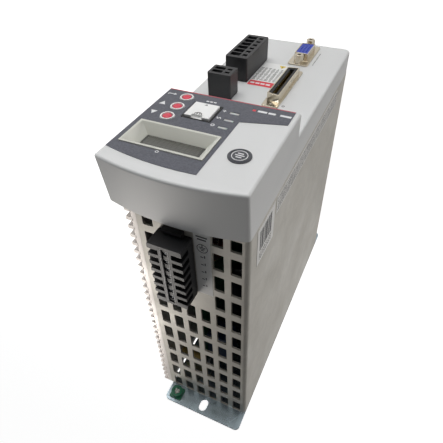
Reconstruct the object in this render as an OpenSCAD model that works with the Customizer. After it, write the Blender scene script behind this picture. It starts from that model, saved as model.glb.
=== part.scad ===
// Single-axis servo drive for mounting on a cabinet panel.
// A folded steel chassis, closed on its right by a finned heat sink and on its
// back by a mounting plate, carries a moulded front cover with a raised head.
// Frame: the origin is midway between the two panel fixing slots, on the back
// face. X points to the drive's right, -Y to its front and Z up.

/* [Chassis] */
// Width over the left side panel and the heat sink's fins
chassis_w = 61.2; // [58:0.2:75]
// Height of the chassis, without the fixing tabs
chassis_h = 172; // [166:1:215]
// Depth from the cabinet panel to the seam under the front cover
chassis_d = 165; // [137:1:198]
// Distance from the line of the fixing slots to the left side panel
fixing_to_left = 27.6; // [24:0.2:32]
// Thickness of the folded sheet steel
sheet_t = 1.2; // [1:0.1:1.6]
// Outer radius of the folded sheet's bends
bend_r = 2.4; // [2:0.2:4]

/* [Grille] */
// Width of one ventilation slot
slot_w = 5.4; // [4.4:0.1:6.4]
// Depth of one ventilation slot
slot_d = 11; // [9:0.2:12.4]
// Spacing of the slots across the chassis
slot_pitch_x = 8.64; // [8:0.02:8.8]
// Spacing of the slots from front to back
slot_pitch_y = 15.4; // [14:0.1:18.5]
// Distance from the back face to the rearmost row of slots
slot_back = 1.8; // [1.8:0.1:4]
// Distance from the heat sink to the first column of slots
slot_side = 3.2; // [2:0.1:4]
// Metal left between the front row of slots and the chassis's front edge
slot_front = 2; // [1.5:0.1:4]

/* [Heat sink] */
// Thickness of the heat sink's base
sink_base_t = 2.8; // [2.4:0.1:4]
// Height of the fins above the base
fin_h = 3.2; // [2.6:0.1:6]
// Thickness of one fin
fin_t = 2.2; // [1.6:0.1:3]
// Spacing of the fins
fin_pitch = 5.7; // [5:0.1:7]

/* [Mounting plate] */
// Thickness of the mounting plate
plate_t = 1.5; // [1.2:0.1:2]
// Length of each fixing tab past the chassis
tab_len = 12; // [11:0.2:16]
// Corner radius of the tabs
tab_r = 3; // [2:0.5:5]
// Width of a fixing slot
fix_w = 5.2; // [4.4:0.1:6.4]
// Length of a fixing slot, end to end
fix_len = 8; // [7:0.1:9]
// Distance from a slot's centre to the chassis
fix_off = 6; // [5.5:0.1:6.5]
// Distance of the ground screw from the line of the fixing slots
ground_x = 20; // [16:0.5:21]
// Diameter of the ground screw's head
ground_head_d = 7.6; // [6.5:0.1:8]

/* [Front cover] */
// Distance the cover stands out past the heat sink's fins
cover_over = 7; // [5:0.5:10]
// Depth of the cover's skirt below its lower front
skirt_d = 14; // [12:0.5:17]
// Height of the head's front above the lower front
head_step = 12; // [9.5:0.5:16]
// Height of the head, measured down from the chassis's top
head_h = 61; // [60:0.5:66]
// Wall of the cover
cover_wall = 2.2; // [1.8:0.1:2.6]
// Rise of the arched top wall at its middle
cover_bow = 4.4; // [3:0.1:6]
// Slope of the arched top wall, which leans in towards the head's front
cover_draft = 5.5; // [3:0.5:8]
// Radius of the cover's corners
cover_r = 4; // [3:0.5:5]

/* [Operator panel] */
// Width of the display opening
display_w = 37.7; // [34:0.1:39]
// Height of the display opening
display_h = 16.6; // [14:0.1:17]
// Depth of the display recess
display_rec = 5; // [3:0.5:5.5]
// Width of the display's window
window_w = 29; // [24:0.5:31]
// Height of the display's window
window_h = 9.6; // [8:0.1:10.5]
// Diameter of a button's cap
button_d = 4.4; // [4:0.1:5]
// Outer diameter of a button's ring
ring_d = 6.6; // [6:0.1:7.5]
// Spacing of the buttons
button_pitch = 9.4; // [8:0.1:9.8]
// Travel of a button
button_travel = 0.8; // [0.5:0.1:1]
// Side of the square memory module
module_w = 12.4; // [11:0.1:13]
// Diameter of the round badge
badge_d = 10; // [8:0.5:11]

/* [Connectors] */
// Pole spacing of the power plugs
power_pitch = 5.08; // [5:0.02:5.2]
// Poles of each power plug
power_poles = 7; // [6:1:7]
// Width of a power plug
power_w = 17; // [15:0.5:18]
// Height of a power plug above the chassis
power_h = 10.6; // [9:0.1:14]
// Pole spacing of the safety plug
safety_pitch = 5.08; // [4.6:0.02:5.2]
// Poles of the safety plug
safety_poles = 6; // [5:1:6]
// Pole spacing of the backup supply plug
backup_pitch = 3.81; // [3.5:0.01:4]
// Poles of the backup supply plug
backup_poles = 2; // [2:1:2]
// Width of the safety and backup plugs
signal_w = 13.2; // [12:0.1:14]
// Height of the safety and backup plugs above the cover
signal_h = 13.6; // [10:0.1:15]
// Length of the signal connector's shell
io_len = 36; // [32:0.5:38]
// Width of the signal connector's shell
io_w = 6.8; // [6.4:0.1:8]

/* [Clearances] */
// Gap round a part that stands through an opening
gap = 0.25; // [0.2:0.01:0.4]
// Gap at each side of a plug that slides in its header
slide_gap = 0.3; // [0.2:0.05:0.4]
// Radial gap between a contact pin and its bore
pin_gap = 0.3; // [0.2:0.05:0.35]

/* [Hidden] */
$fn = 48;
eps = 0.01;
far = 400;

left_x = -fixing_to_left;
right_x = left_x + chassis_w;
sink_x = right_x - fin_h - sink_base_t;
top_z = chassis_h / 2;
seam_y = -chassis_d;
low_y = seam_y - skirt_d;
head_y = low_y - head_step;
head_z = top_z - head_h;
cover_x0 = left_x;
cover_x1 = right_x + cover_over;
cover_w = cover_x1 - cover_x0;
cover_mid = (cover_x0 + cover_x1) / 2;
bow_r = (pow(cover_w / 2, 2) + pow(cover_bow, 2)) / (2 * cover_bow);
head_lean = (skirt_d + head_step) * tan(cover_draft);

slot_cols = 6;
slot_rows = floor((chassis_d - slot_back - slot_front - slot_d / 2) / slot_pitch_y) + 1;
slot_x0 = sink_x - slot_side;
plate_x1 = sink_x - 1;
fix_z = top_z + fix_off;
fin_count = floor((chassis_d - plate_t - fin_t) / fin_pitch) + 1;

// Operator panel, placed from the head's right and lower edges
display_x = cover_x1 - 4.65 - display_w / 2;
display_z = top_z - 19.2;
button_x = cover_x1 - 13.1;
button_z0 = head_z + 7;
mem_x = cover_x1 - 26.1;
mem_z = head_z + 16.5;
mem_d = 8.5;
mem_proud = 1.2;
mem_wall = 0.8;
lamp_x = cover_x1 - 40.5;
lamp_z0 = head_z + 12.7;
lamp_pitch = 6.5;
lamp_w = 4.2;
lamp_h = 1.3;
badge_z = top_z - 18.6;
badge_t = 0.5;
film_t = 0.25;
film_edge = 1.1;
film_margin = 2.6;
film_neck_x = display_x - display_w / 2 - 2.85;
badge_x = (cover_x0 + film_neck_x) / 2 + 1.1;
film_arm_x = cover_x0 + 2.4;
film_arm_z0 = head_z + 18.3;
film_arm_z1 = head_z + 13;
ring_t = 0.7;
ring_wall = 0.75;
cap_proud = 1.1;
cap_flange_d = button_d + 1.4;
cap_flange_t = 0.8;
bezel_rim = 0.9;
bezel_rim_t = 0.3;
bezel_wall = 0.8;
window_t = 1;

// Printed circuit boards
board_t = 1.6;
board_gap = 1.4;
control_y = seam_y - board_gap - board_t;
control_edge = cover_wall + 1.2;
lip_t = board_gap - 0.2;
panel_board_y = head_y + 9;
panel_board_x0 = cover_x0 + 4;
panel_board_x1 = cover_x1 - 4;
panel_board_z0 = head_z + 3.2;
panel_board_z1 = top_z - 5;
power_x = left_x + 35.2;
pin_d = 1;
power_board_x = power_x + pin_d / 2 + board_t;
power_board_y0 = seam_y + 16;
power_board_y1 = -8;
power_board_z = top_z - 15;
module_y0 = -chassis_d * 0.66;
module_y1 = -chassis_d * 0.36;
module_half = 30;
module_t = 12;
pad_t = 0.3;
cap_d = 25;
cap_len = 30;
cap_gap = 2;
switch_h = 3.4;
label_t = 0.15;
spacer_d = 6;
spacer_bore_d = 2.5;
spacer_in = 5;
screw_head_d = 5.4;
screw_head_t = 2;
boss_d = 6;
boss_in = 7.6;

// Plugs and headers
header_wall = 1.2;
header_depth = skirt_d - board_gap - board_t;
power_tail = 6;
signal_tail = board_t + 0.8;
header_floor = 3;
header_proud = 0.4;
plug_end = 2;
clamp_d = 2.2;
plug_seat = 0.3;
nose_depth = header_depth - header_floor - 0.4;
pin_len = 5.4;
power_y = -chassis_d + 27.5;
patch_rows = 4;
patch_cols = [1, 3];
signal_x = cover_x1 - 17.5;
backup_z = head_z - 24.6;
safety_z = head_z - 59.6;
power_len = power_pitch * power_poles + 2 * plug_end;

// Sub-miniature connectors
shell_t = 0.6;
shell_proud = 5;
flange_t = 0.9;
io_x = cover_x0 + 22.6;
io_z = head_z - 43;
io_flange = 5;
io_key_w = 2.4;
dsub_x = cover_x0 + 24.6;
dsub_z = -top_z + 21;
dsub_len = 17;
dsub_w = 8.4;
dsub_flange_len = 30.8;
dsub_flange_w = 12.4;
dsub_jack = 25;
jack_af = 4.8;
jack_len = 5;
jack_bore_d = 2.6;
contact_d = 1.1;
contact_pitch = 2.3;

// ---------------------------------------------------------------- helpers

// Box from its low corner to its high corner
module box(lo, hi) {
    translate(lo) cube([hi[0] - lo[0], hi[1] - lo[1], hi[2] - lo[2]]);
}

// Flat outline drawn in X and Z, given depth from y0 back to y1
module along_y(y0, y1) {
    translate([0, y1, 0]) rotate([90, 0, 0]) linear_extrude(height = y1 - y0) children();
}

// Round bar along Y
module bar_y(x, z, y0, y1, d) {
    translate([x, y1, z]) rotate([90, 0, 0]) cylinder(h = y1 - y0, d = d);
}

// Rectangle from (x0, z0) to (x1, z1) with round corners
module round_rect(x0, z0, x1, z1, r) {
    translate([x0 + r, z0]) square([x1 - x0 - 2 * r, z1 - z0]);
    translate([x0, z0 + r]) square([x1 - x0, z1 - z0 - 2 * r]);
    for (x = [x0 + r, x1 - r])
        for (z = [z0 + r, z1 - r])
            translate([x, z]) circle(r = r);
}

// Centred rectangle with round corners
module round_plate(w, h, r) {
    round_rect(-w / 2, -h / 2, w / 2, h / 2, r);
}

// ---------------------------------------------------------------- chassis

// Rectangle whose left corners are round, for the folded sheet
module fold_outline(inset) {
    r = bend_r - inset;
    h = top_z - inset;
    x0 = left_x + inset;
    translate([x0 + r, -h]) square([sink_x - x0 - r + inset, 2 * h]);
    translate([x0, -h + r]) square([r + eps, 2 * h - 2 * r]);
    for (z = [-h + r, h - r])
        translate([x0 + r, z]) circle(r = r);
}

// One end's ventilation slots, with a blank patch round the power header
module grille_slots() {
    for (row = [0 : slot_rows - 1])
        for (col = [0 : slot_cols - 1]) {
            y1 = -slot_back - row * slot_pitch_y;
            y0 = max(y1 - slot_d, seam_y + slot_front);
            x1 = slot_x0 - col * slot_pitch_x;
            blank = row >= slot_rows - patch_rows && col >= patch_cols[0] && col <= patch_cols[1];
            if (!blank)
                box([x1 - slot_w, y0, top_z - 2 * sheet_t], [x1, y1, top_z + sheet_t]);
        }
}

// Opening for a power header in an end of the chassis
module header_opening() {
    w = power_w - 1 + 2 * gap;
    len = power_len - 1 + 2 * gap;
    box([power_x - w / 2, power_y - len / 2, top_z - 2 * sheet_t],
        [power_x + w / 2, power_y + len / 2, top_z + sheet_t]);
}

// Left side panel with the two bends along its long edges
module chassis_shell() {
    color("#A7A49E") along_y(seam_y, -plate_t) intersection() {
        difference() {
            fold_outline(0);
            fold_outline(sheet_t);
        }
        translate([left_x, -top_z]) square([bend_r, chassis_h]);
    }
}

// Slotted panels that close the chassis's two ends, from the bends to the heat sink
module end_grilles() {
    color("#A7A49E") for (end = [0, 1])
        mirror([0, 0, end]) difference() {
            box([left_x + bend_r, seam_y, top_z - sheet_t], [sink_x, -plate_t, top_z]);
            grille_slots();
            header_opening();
        }
}

module heat_sink() {
    color("#CDC2BD") {
        box([sink_x, seam_y, -top_z], [sink_x + sink_base_t, -plate_t, top_z]);
        for (i = [0 : fin_count - 1])
            translate([sink_x + sink_base_t - eps, -plate_t - fin_t - i * fin_pitch, -top_z])
                cube([fin_h + eps, fin_t, chassis_h]);
    }
}

// Slot with round ends, long in Z
module fixing_slot(z) {
    run = (fix_len - fix_w) / 2;
    translate([0, z - run]) circle(d = fix_w);
    translate([0, z + run]) circle(d = fix_w);
    translate([-fix_w / 2, z - run]) square([fix_w, 2 * run]);
}

module mounting_plate() {
    color("#A9BCC4") difference() {
        along_y(-plate_t, 0) difference() {
            round_rect(left_x, -top_z - tab_len, plate_x1, top_z + tab_len, tab_r);
            fixing_slot(fix_z);
            fixing_slot(-fix_z);
        }
        bar_y(ground_x, fix_z, -2 * plate_t, plate_t, ground_bore_d());
    }
}

function ground_bore_d() = ground_head_d / 2;

module ground_washer() {
    side = ground_head_d + 0.8;
    color("#4E8F72") difference() {
        along_y(-plate_t - 0.9, -plate_t) translate([ground_x, fix_z]) difference() {
            round_plate(side, side, 1);
            circle(d = ground_bore_d());
        }
    }
}

module ground_screw() {
    head_y0 = -plate_t - 0.9;
    head_t = 2.8;
    shank_d = ground_bore_d() - 0.3;
    slot = 1.1;
    color("#1E5A40") difference() {
        union() {
            bar_y(ground_x, fix_z, head_y0 - head_t, head_y0, ground_head_d);
            bar_y(ground_x, fix_z, head_y0 - eps, -eps, shank_d);
        }
        translate([ground_x, head_y0 - head_t, fix_z]) {
            cube([ground_head_d * 0.62, 2 * slot, slot], center = true);
            cube([slot, 2 * slot, ground_head_d * 0.62], center = true);
        }
    }
}

// ---------------------------------------------------------------- front cover

// The cover's outline seen from the front, drawn in by a wall, before the arch is cut
module cover_outline(inset) {
    far_z = top_z + cover_bow + cover_r;
    round_rect(cover_x0 + inset, -top_z + inset, cover_x1 - inset, far_z, cover_r - inset / 2);
}

// The part of the outline that the head covers
module head_outline(inset) {
    intersection() {
        cover_outline(inset);
        translate([-far / 2, head_z + inset]) square([far, far]);
    }
}

// The leaning barrel whose top is the cover's arched end wall
module cover_arch(inset) {
    translate([cover_mid, seam_y, top_z + cover_bow]) rotate([-cover_draft, 0, 0]) translate([0, 0, -bow_r])
        rotate([90, 0, 0]) translate([0, 0, -far / 2]) cylinder(h = far, r = bow_r - inset, $fn = 180);
}

// The cover's body from its rear edge to its fronts, drawn in by a wall
module cover_body(inset, rear_y) {
    intersection() {
        union() {
            along_y(low_y + inset, rear_y) cover_outline(inset);
            along_y(head_y + inset, low_y + inset + eps) head_outline(inset);
        }
        cover_arch(inset);
    }
}

// A post inside the cover that a board is screwed to
module cover_boss(x, z, y0, y1) {
    difference() {
        bar_y(x, z, y0, y1, boss_d);
        bar_y(x, z, y1 - 6, y1 + 1, spacer_bore_d);
    }
}

// Corners of the control board's fixings: x, z and the front they stand on
function control_fixings() = [
    [cover_x0 + boss_in + cover_wall, -top_z + boss_in + cover_wall, low_y],
    [cover_x1 - boss_in - cover_wall, -top_z + boss_in + cover_wall, low_y],
    [cover_x0 + boss_in + cover_wall, head_z - boss_in, low_y],
    [cover_x1 - boss_in - cover_wall, head_z - boss_in, low_y]
];

function panel_fixings() = [
    [panel_board_x0 + boss_in, panel_board_z0 + 3.5],
    [panel_board_x0 + boss_in, panel_board_z1 - 6],
    [panel_board_x1 - 2.2, panel_board_z0 + 24.8]
];

// A rectangular hole round something w by h, with a clearance on every side
module opening(x, z, w, h, clear = gap) {
    translate([x, z]) square([w + 2 * clear, h + 2 * clear], center = true);
}

module cover_holes() {
    y0 = head_y - 5;
    y1 = head_y + cover_wall + 1;
    along_y(y0, y1) {
        opening(display_x, display_z, display_w, display_h, bezel_wall + gap);
        opening(mem_x, mem_z, module_w, module_w, mem_wall + slide_gap + gap);
        for (i = [0 : 2])
            opening(lamp_x, lamp_z0 + i * lamp_pitch, lamp_w, lamp_h);
    }
    for (i = [0 : 2])
        bar_y(button_x, button_z0 + i * button_pitch, y0, y1, button_d + 2 * slide_gap);
    along_y(low_y - 1, low_y + cover_wall + 1) {
        opening(io_x, io_z, io_w, io_len);
        opening(dsub_x, dsub_z, dsub_w, dsub_len);
        opening(signal_x, safety_z, signal_w - 1, plug_length(safety_poles, safety_pitch) - 1);
        opening(signal_x, backup_z, signal_w - 1, plug_length(backup_poles, backup_pitch) - 1);
    }
}

module front_cover() {
    hook_l = 9;
    hook_t = 1.2;
    color("#D6D8DA") {
        difference() {
            cover_body(0, seam_y);
            cover_body(cover_wall, seam_y + 1);
            cover_holes();
        }
        // Rear lip that closes the overhang beside the fins
        box([right_x + gap, seam_y - lip_t, -top_z + cover_wall - eps],
            [cover_x1 - cover_wall + eps, seam_y, top_z]);
        // Locating hooks that slide in behind the side panel
        for (z = [-top_z * 0.7, -top_z * 0.1, top_z * 0.7])
            box([left_x + sheet_t + gap, seam_y - cover_wall, z - hook_l / 2],
                [left_x + sheet_t + gap + hook_t, seam_y + 5, z + hook_l / 2]);
        for (z = [-top_z * 0.7, -top_z * 0.1, top_z * 0.7])
            box([left_x + cover_wall - eps, seam_y - cover_wall, z - hook_l / 2],
                [left_x + sheet_t + gap + hook_t, seam_y - gap, z + hook_l / 2]);
        for (f = control_fixings())
            cover_boss(f[0], f[1], f[2] + cover_wall - eps, control_y);
        for (f = panel_fixings())
            cover_boss(f[0], f[1], head_y + cover_wall - eps, panel_board_y);
    }
}

// ---------------------------------------------------------------- operator panel

// Outline of the dark film: a broad field under the display with a narrow arm
// that runs left along the head's lower edge
module film_outline() {
    intersection() {
        translate([cover_mid, top_z + cover_bow - head_lean - bow_r])
            circle(r = bow_r - film_margin, $fn = 180);
        polygon([
            [cover_x1 - film_edge, head_z + film_edge],
            [cover_x1 - film_edge, top_z + cover_bow],
            [film_neck_x, top_z + cover_bow],
            [film_neck_x, film_arm_z0],
            [film_arm_x, film_arm_z1],
            [film_arm_x, head_z + film_edge]
        ]);
    }
}

module overlay_film() {
    color("#5A5C66") difference() {
        along_y(head_y - film_t, head_y) difference() {
            film_outline();
            opening(display_x, display_z, display_w, display_h, bezel_rim + gap);
            opening(mem_x, mem_z, module_w, module_w, mem_wall + slide_gap + gap);
            for (i = [0 : 2])
                opening(lamp_x, lamp_z0 + i * lamp_pitch, lamp_w, lamp_h);
        }
        for (i = [0 : 2])
            bar_y(button_x, button_z0 + i * button_pitch, head_y - 1, head_y + 1, ring_d + 2 * gap);
    }
}

module display_bezel() {
    back_y = head_y + display_rec;
    color("#C4C4BA") translate([display_x, 0, display_z]) difference() {
        union() {
            along_y(head_y - film_t - bezel_rim_t, head_y)
                square([display_w + 2 * bezel_rim, display_h + 2 * bezel_rim], center = true);
            along_y(head_y - eps, back_y)
                square([display_w + 2 * bezel_wall, display_h + 2 * bezel_wall], center = true);
        }
        hull() {
            along_y(head_y - 2, head_y - 1) square([display_w, display_h], center = true);
            along_y(back_y - window_t, back_y - window_t + 0.1) square([window_w, window_h], center = true);
        }
        along_y(back_y - window_t, back_y + 1) square([window_w, window_h], center = true);
    }
}

module display_window() {
    back_y = head_y + display_rec;
    color("#55554F") translate([display_x, 0, display_z])
        along_y(back_y - window_t + 0.2, back_y)
            square([window_w - 2 * 0.05, window_h - 2 * 0.05], center = true);
}

module display_module() {
    back_y = head_y + display_rec;
    color("#3E4A40") box([display_x - display_w / 2, back_y + eps * 5, display_z - display_h / 2],
        [display_x + display_w / 2, panel_board_y, display_z + display_h / 2]);
}

module button_rings() {
    color("#E6E4E2") for (i = [0 : 2])
        translate([button_x, head_y, button_z0 + i * button_pitch]) rotate([90, 0, 0])
            rotate_extrude() translate([ring_d / 2 - ring_wall, 0])
                square([ring_wall, ring_t]);
}

// Domed cap with a collar behind the cover's wall and a stem down to its switch
module button_cap(i) {
    crown = 0.7;
    crown_r = (pow(button_d / 2, 2) + pow(crown, 2)) / (2 * crown);
    front = cap_proud - crown;
    collar = -cover_wall - 0.2;
    stem_end = panel_board_y - head_y - switch_h - button_travel - 0.1;
    translate([button_x, head_y, button_z0 + i * button_pitch]) rotate([90, 0, 0]) {
        intersection() {
            translate([0, 0, front + crown - crown_r]) sphere(r = crown_r, $fn = 96);
            translate([0, 0, front - 0.5]) cylinder(h = 3, d = button_d);
        }
        translate([0, 0, collar]) cylinder(h = front - collar, d = button_d);
        translate([0, 0, collar - cap_flange_t]) cylinder(h = cap_flange_t + eps, d = cap_flange_d);
        translate([0, 0, -stem_end]) cylinder(h = stem_end + collar, d = 2.4);
    }
}

module enter_button() {
    color("#DC5A68") button_cap(0);
}

module up_button() {
    color("#DC5A68") button_cap(2);
}

module down_button() {
    color("#DC5A68") button_cap(1);
}

module button_switches() {
    side = 6;
    base = 2.6;
    color("#2B2B2E") for (i = [0 : 2]) {
        z = button_z0 + i * button_pitch;
        box([button_x - side / 2, panel_board_y - base, z - side / 2],
            [button_x + side / 2, panel_board_y, z + side / 2]);
        bar_y(button_x, z, panel_board_y - switch_h, panel_board_y - base + eps, 3.2);
    }
}

module status_light_pipes() {
    color("#C9CCC8") for (i = [0 : 2])
        box([lamp_x - lamp_w / 2, head_y - film_t, lamp_z0 + i * lamp_pitch - lamp_h / 2],
            [lamp_x + lamp_w / 2, panel_board_y - 1.6, lamp_z0 + i * lamp_pitch + lamp_h / 2]);
}

module status_lamps() {
    color("#B8C49A") for (i = [0 : 2])
        box([lamp_x - 1.6, panel_board_y - 1.2, lamp_z0 + i * lamp_pitch - 0.8],
            [lamp_x + 1.6, panel_board_y, lamp_z0 + i * lamp_pitch + 0.8]);
}

// A block with a finger notch in its near edge and a slot for contacts in its back
module memory_module() {
    half = module_w / 2;
    front = head_y - mem_proud;
    back = front + mem_d;
    notch_half = 2.6;
    slot_half = half - 1.4;
    color("#ECECEA") difference() {
        box([mem_x - half, front, mem_z - half], [mem_x + half, back, mem_z + half]);
        box([mem_x - notch_half, front - 1, mem_z + half - 1.6],
            [mem_x + notch_half, front + 1.4, mem_z + half + 1]);
        box([mem_x - slot_half, back - 2, mem_z - 1], [mem_x + slot_half, back + 1, mem_z + 1]);
    }
}

module memory_socket() {
    outer = module_w / 2 + slide_gap + mem_wall;
    inner = module_w / 2 + slide_gap;
    floor_y = head_y - mem_proud + mem_d + 0.2;
    color("#3A3A3E") difference() {
        box([mem_x - outer, head_y - film_t, mem_z - outer], [mem_x + outer, panel_board_y, mem_z + outer]);
        box([mem_x - inner, head_y - 2, mem_z - inner], [mem_x + inner, floor_y, mem_z + inner]);
    }
}

module badge() {
    color("#55575C") {
        bar_y(badge_x, badge_z, head_y - badge_t, head_y, badge_d);
        translate([badge_x, head_y - badge_t + eps, badge_z]) rotate([90, 0, 0])
            rotate_extrude() translate([badge_d / 2 - 1, 0]) square([0.5, 0.25]);
    }
}

// ---------------------------------------------------------------- plugs and headers
// Each is drawn with its mating direction along Z and its row of poles along Y.

function plug_length(poles, pitch) = poles * pitch + 2 * plug_end * pitch / power_pitch;

function pole_y(i, poles, pitch) = (i - (poles - 1) / 2) * pitch;

// Header: an open box that stands through the wall at z = 0
module header(poles, pitch, w) {
    len = plug_length(poles, pitch) - 1;
    difference() {
        translate([-(w - 1) / 2, -len / 2, -header_depth])
            cube([w - 1, len, header_depth + header_proud]);
        translate([-(w - 1) / 2 + header_wall, -len / 2 + header_wall, -header_depth + header_floor])
            cube([w - 1 - 2 * header_wall, len - 2 * header_wall, header_depth + 1]);
        for (i = [0 : poles - 1])
            translate([0, pole_y(i, poles, pitch), -header_depth - 1])
                cylinder(h = header_floor + 2, d = pin_d);
    }
}

// Contact pins of one header, with their tails behind it
module header_pins(poles, pitch, tail) {
    for (i = [0 : poles - 1])
        translate([0, pole_y(i, poles, pitch), -header_depth - tail])
            cylinder(h = tail + header_floor + pin_len, d = pin_d);
}

// Body and nose shared by all plugs, with a bore for each pin
module plug_blank(poles, pitch, w, h) {
    len = plug_length(poles, pitch);
    nose_w = w - 1 - 2 * header_wall - 2 * slide_gap;
    nose_l = len - 1 - 2 * header_wall - 2 * slide_gap;
    edge = 0.8;
    difference() {
        union() {
            translate([0, 0, header_proud + plug_seat])
                linear_extrude(height = h - header_proud - plug_seat) round_plate(w, len, edge);
            translate([-nose_w / 2, -nose_l / 2, -nose_depth])
                cube([nose_w, nose_l, nose_depth + header_proud + plug_seat + eps]);
        }
        for (i = [0 : poles - 1])
            translate([0, pole_y(i, poles, pitch), -nose_depth - 1])
                cylinder(h = pin_len + 2, d = pin_d + 2 * pin_gap);
    }
}

// Power plug: two rows of clamp slots beside a raised rib, and a latch tab
module power_plug() {
    rib_w = 4.6;
    slot_l = (power_w - rib_w) / 2 - 1;
    slot_t = 3.1;
    slot_in = 6;
    slot_x = rib_w / 2 + slot_l / 2 + 1.1;
    difference() {
        plug_blank(power_poles, power_pitch, power_w, power_h);
        for (i = [0 : power_poles - 1])
            for (side = [-1, 1])
                translate([side * slot_x, pole_y(i, power_poles, power_pitch), power_h])
                    cube([slot_l + 0.2, slot_t, 2 * slot_in], center = true);
        translate([0, 0, power_h]) cube([rib_w - 1.6, power_len - 3, 1.2], center = true);
        for (i = [0 : power_poles - 1])
            translate([0, pole_y(i, power_poles, power_pitch), power_h - 3])
                cylinder(h = 4, d = clamp_d + 0.4);
    }
    // Latch tab at the front end
    tab_w = 10;
    translate([-tab_w / 2, -power_len / 2 - 3.2, header_proud + plug_seat]) cube([tab_w, 3.4, 1.6]);
    translate([-tab_w / 2, -power_len / 2 - 3.2, header_proud + plug_seat]) cube([tab_w, 1.2, 3.2]);
}

// Clamp screws of a power plug, seen in the trough between the slots
module power_screws() {
    for (i = [0 : power_poles - 1])
        translate([0, pole_y(i, power_poles, power_pitch), power_h - 3])
            clamp_screw(clamp_d);
}

// Slotted screw, head up
module clamp_screw(d) {
    difference() {
        cylinder(h = 2, d = d);
        translate([0, 0, 2]) cube([d + 1, 0.6, 1], center = true);
    }
}

// Signal plug: one pocket for each screw and a wire entry beside it
module signal_plug(poles, pitch) {
    pocket = pitch - 1.1;
    difference() {
        plug_blank(poles, pitch, signal_w, signal_h);
        for (i = [0 : poles - 1]) {
            translate([signal_w * 0.16, pole_y(i, poles, pitch), signal_h])
                cube([signal_w * 0.44, pocket, 7], center = true);
            translate([-signal_w * 0.26, pole_y(i, poles, pitch), signal_h])
                cube([signal_w * 0.2, pocket * 0.6, 4], center = true);
        }
    }
}

module signal_screws(poles, pitch) {
    for (i = [0 : poles - 1])
        translate([signal_w * 0.16, pole_y(i, poles, pitch), signal_h - 3.5])
            clamp_screw(pitch - 1.5);
}

module at_mains() {
    translate([power_x, power_y, top_z]) children();
}

module at_motor() {
    translate([power_x, power_y, -top_z]) mirror([0, 0, 1]) children();
}

module at_safety() {
    translate([signal_x, low_y, safety_z]) rotate([90, 0, 0]) children();
}

module at_backup() {
    translate([signal_x, low_y, backup_z]) rotate([90, 0, 0]) children();
}

module mains_header() {
    color("#232326") at_mains() header(power_poles, power_pitch, power_w);
}

module motor_header() {
    color("#232326") at_motor() header(power_poles, power_pitch, power_w);
}

module safety_header() {
    color("#232326") at_safety() header(safety_poles, safety_pitch, signal_w);
}

module backup_header() {
    color("#232326") at_backup() header(backup_poles, backup_pitch, signal_w);
}

module mains_plug() {
    color("#2E2E31") at_mains() power_plug();
}

module motor_plug() {
    color("#2E2E31") at_motor() power_plug();
}

module safety_plug() {
    color("#2E2E31") at_safety() signal_plug(safety_poles, safety_pitch);
}

module backup_plug() {
    color("#2E2E31") at_backup() signal_plug(backup_poles, backup_pitch);
}

module mains_plug_screws() {
    color("#B9BCC0") at_mains() power_screws();
}

module motor_plug_screws() {
    color("#B9BCC0") at_motor() power_screws();
}

module safety_plug_screws() {
    color("#B9BCC0") at_safety() signal_screws(safety_poles, safety_pitch);
}

module backup_plug_screws() {
    color("#B9BCC0") at_backup() signal_screws(backup_poles, backup_pitch);
}

module contact_pins() {
    color("#C8B06A") {
        at_mains() header_pins(power_poles, power_pitch, power_tail);
        at_motor() header_pins(power_poles, power_pitch, power_tail);
        at_safety() header_pins(safety_poles, safety_pitch, signal_tail);
        at_backup() header_pins(backup_poles, backup_pitch, signal_tail);
    }
}

// ---------------------------------------------------------------- sub-miniature connectors

// Outline of a connector shell: a rectangle with one long side drawn in
module shell_outline(w, len, draw, inset) {
    polygon([
        [-w / 2 + inset, -len / 2 + inset],
        [-w / 2 + inset, len / 2 - inset],
        [w / 2 - inset, len / 2 - draw - inset],
        [w / 2 - inset, -len / 2 + draw + inset]
    ]);
}

module signal_connector_shell() {
    color("#B8B2A6") translate([io_x, 0, io_z]) difference() {
        union() {
            along_y(low_y - flange_t, low_y) round_plate(io_w + 2, io_len + 2 * io_flange, 1);
            along_y(low_y - shell_proud, low_y) shell_outline(io_w, io_len, 1, 0);
            along_y(low_y - eps, control_y) square([io_w - 0.2, io_len - 2], center = true);
        }
        along_y(low_y - shell_proud - 1, control_y - 2) shell_outline(io_w, io_len, 1, shell_t);
        for (side = [-1, 1])
            bar_y(0, side * (io_len / 2 + io_flange / 2), low_y - 2, low_y + 1, 2);
    }
}

module signal_connector_insert() {
    color("#1B1B1E") translate([io_x, 0, io_z]) difference() {
        along_y(low_y - shell_proud + 0.4, control_y - 2) shell_outline(io_w, io_len, 1, shell_t + 0.02);
        along_y(low_y - shell_proud, low_y + 1) square([io_key_w, io_len - 5], center = true);
    }
}

module feedback_connector_shell() {
    color("#B8B2A6") translate([dsub_x, 0, dsub_z]) difference() {
        union() {
            along_y(low_y - flange_t, low_y) round_plate(dsub_flange_w, dsub_flange_len, 1.5);
            along_y(low_y - shell_proud, low_y) shell_outline(dsub_w, dsub_len, 0.7, 0);
            along_y(low_y - eps, control_y) square([dsub_w - 0.2, dsub_len - 2], center = true);
        }
        along_y(low_y - shell_proud - 1, control_y - 2) shell_outline(dsub_w, dsub_len, 0.7, shell_t);
        for (side = [-1, 1])
            bar_y(0, side * dsub_jack / 2, low_y - 2, low_y + 1, jack_bore_d);
    }
}

module feedback_connector_insert() {
    row_pitch = 1.98;
    front = low_y - shell_proud;
    color("#3A4FA0") translate([dsub_x, 0, dsub_z]) difference() {
        along_y(front + 0.4, control_y - 2) shell_outline(dsub_w, dsub_len, 0.7, shell_t + 0.02);
        for (row = [-1 : 1])
            for (i = [-2 : 2])
                bar_y(row * row_pitch, (i + row * 0.25) * contact_pitch, front - 1, low_y, contact_d);
    }
}

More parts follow.
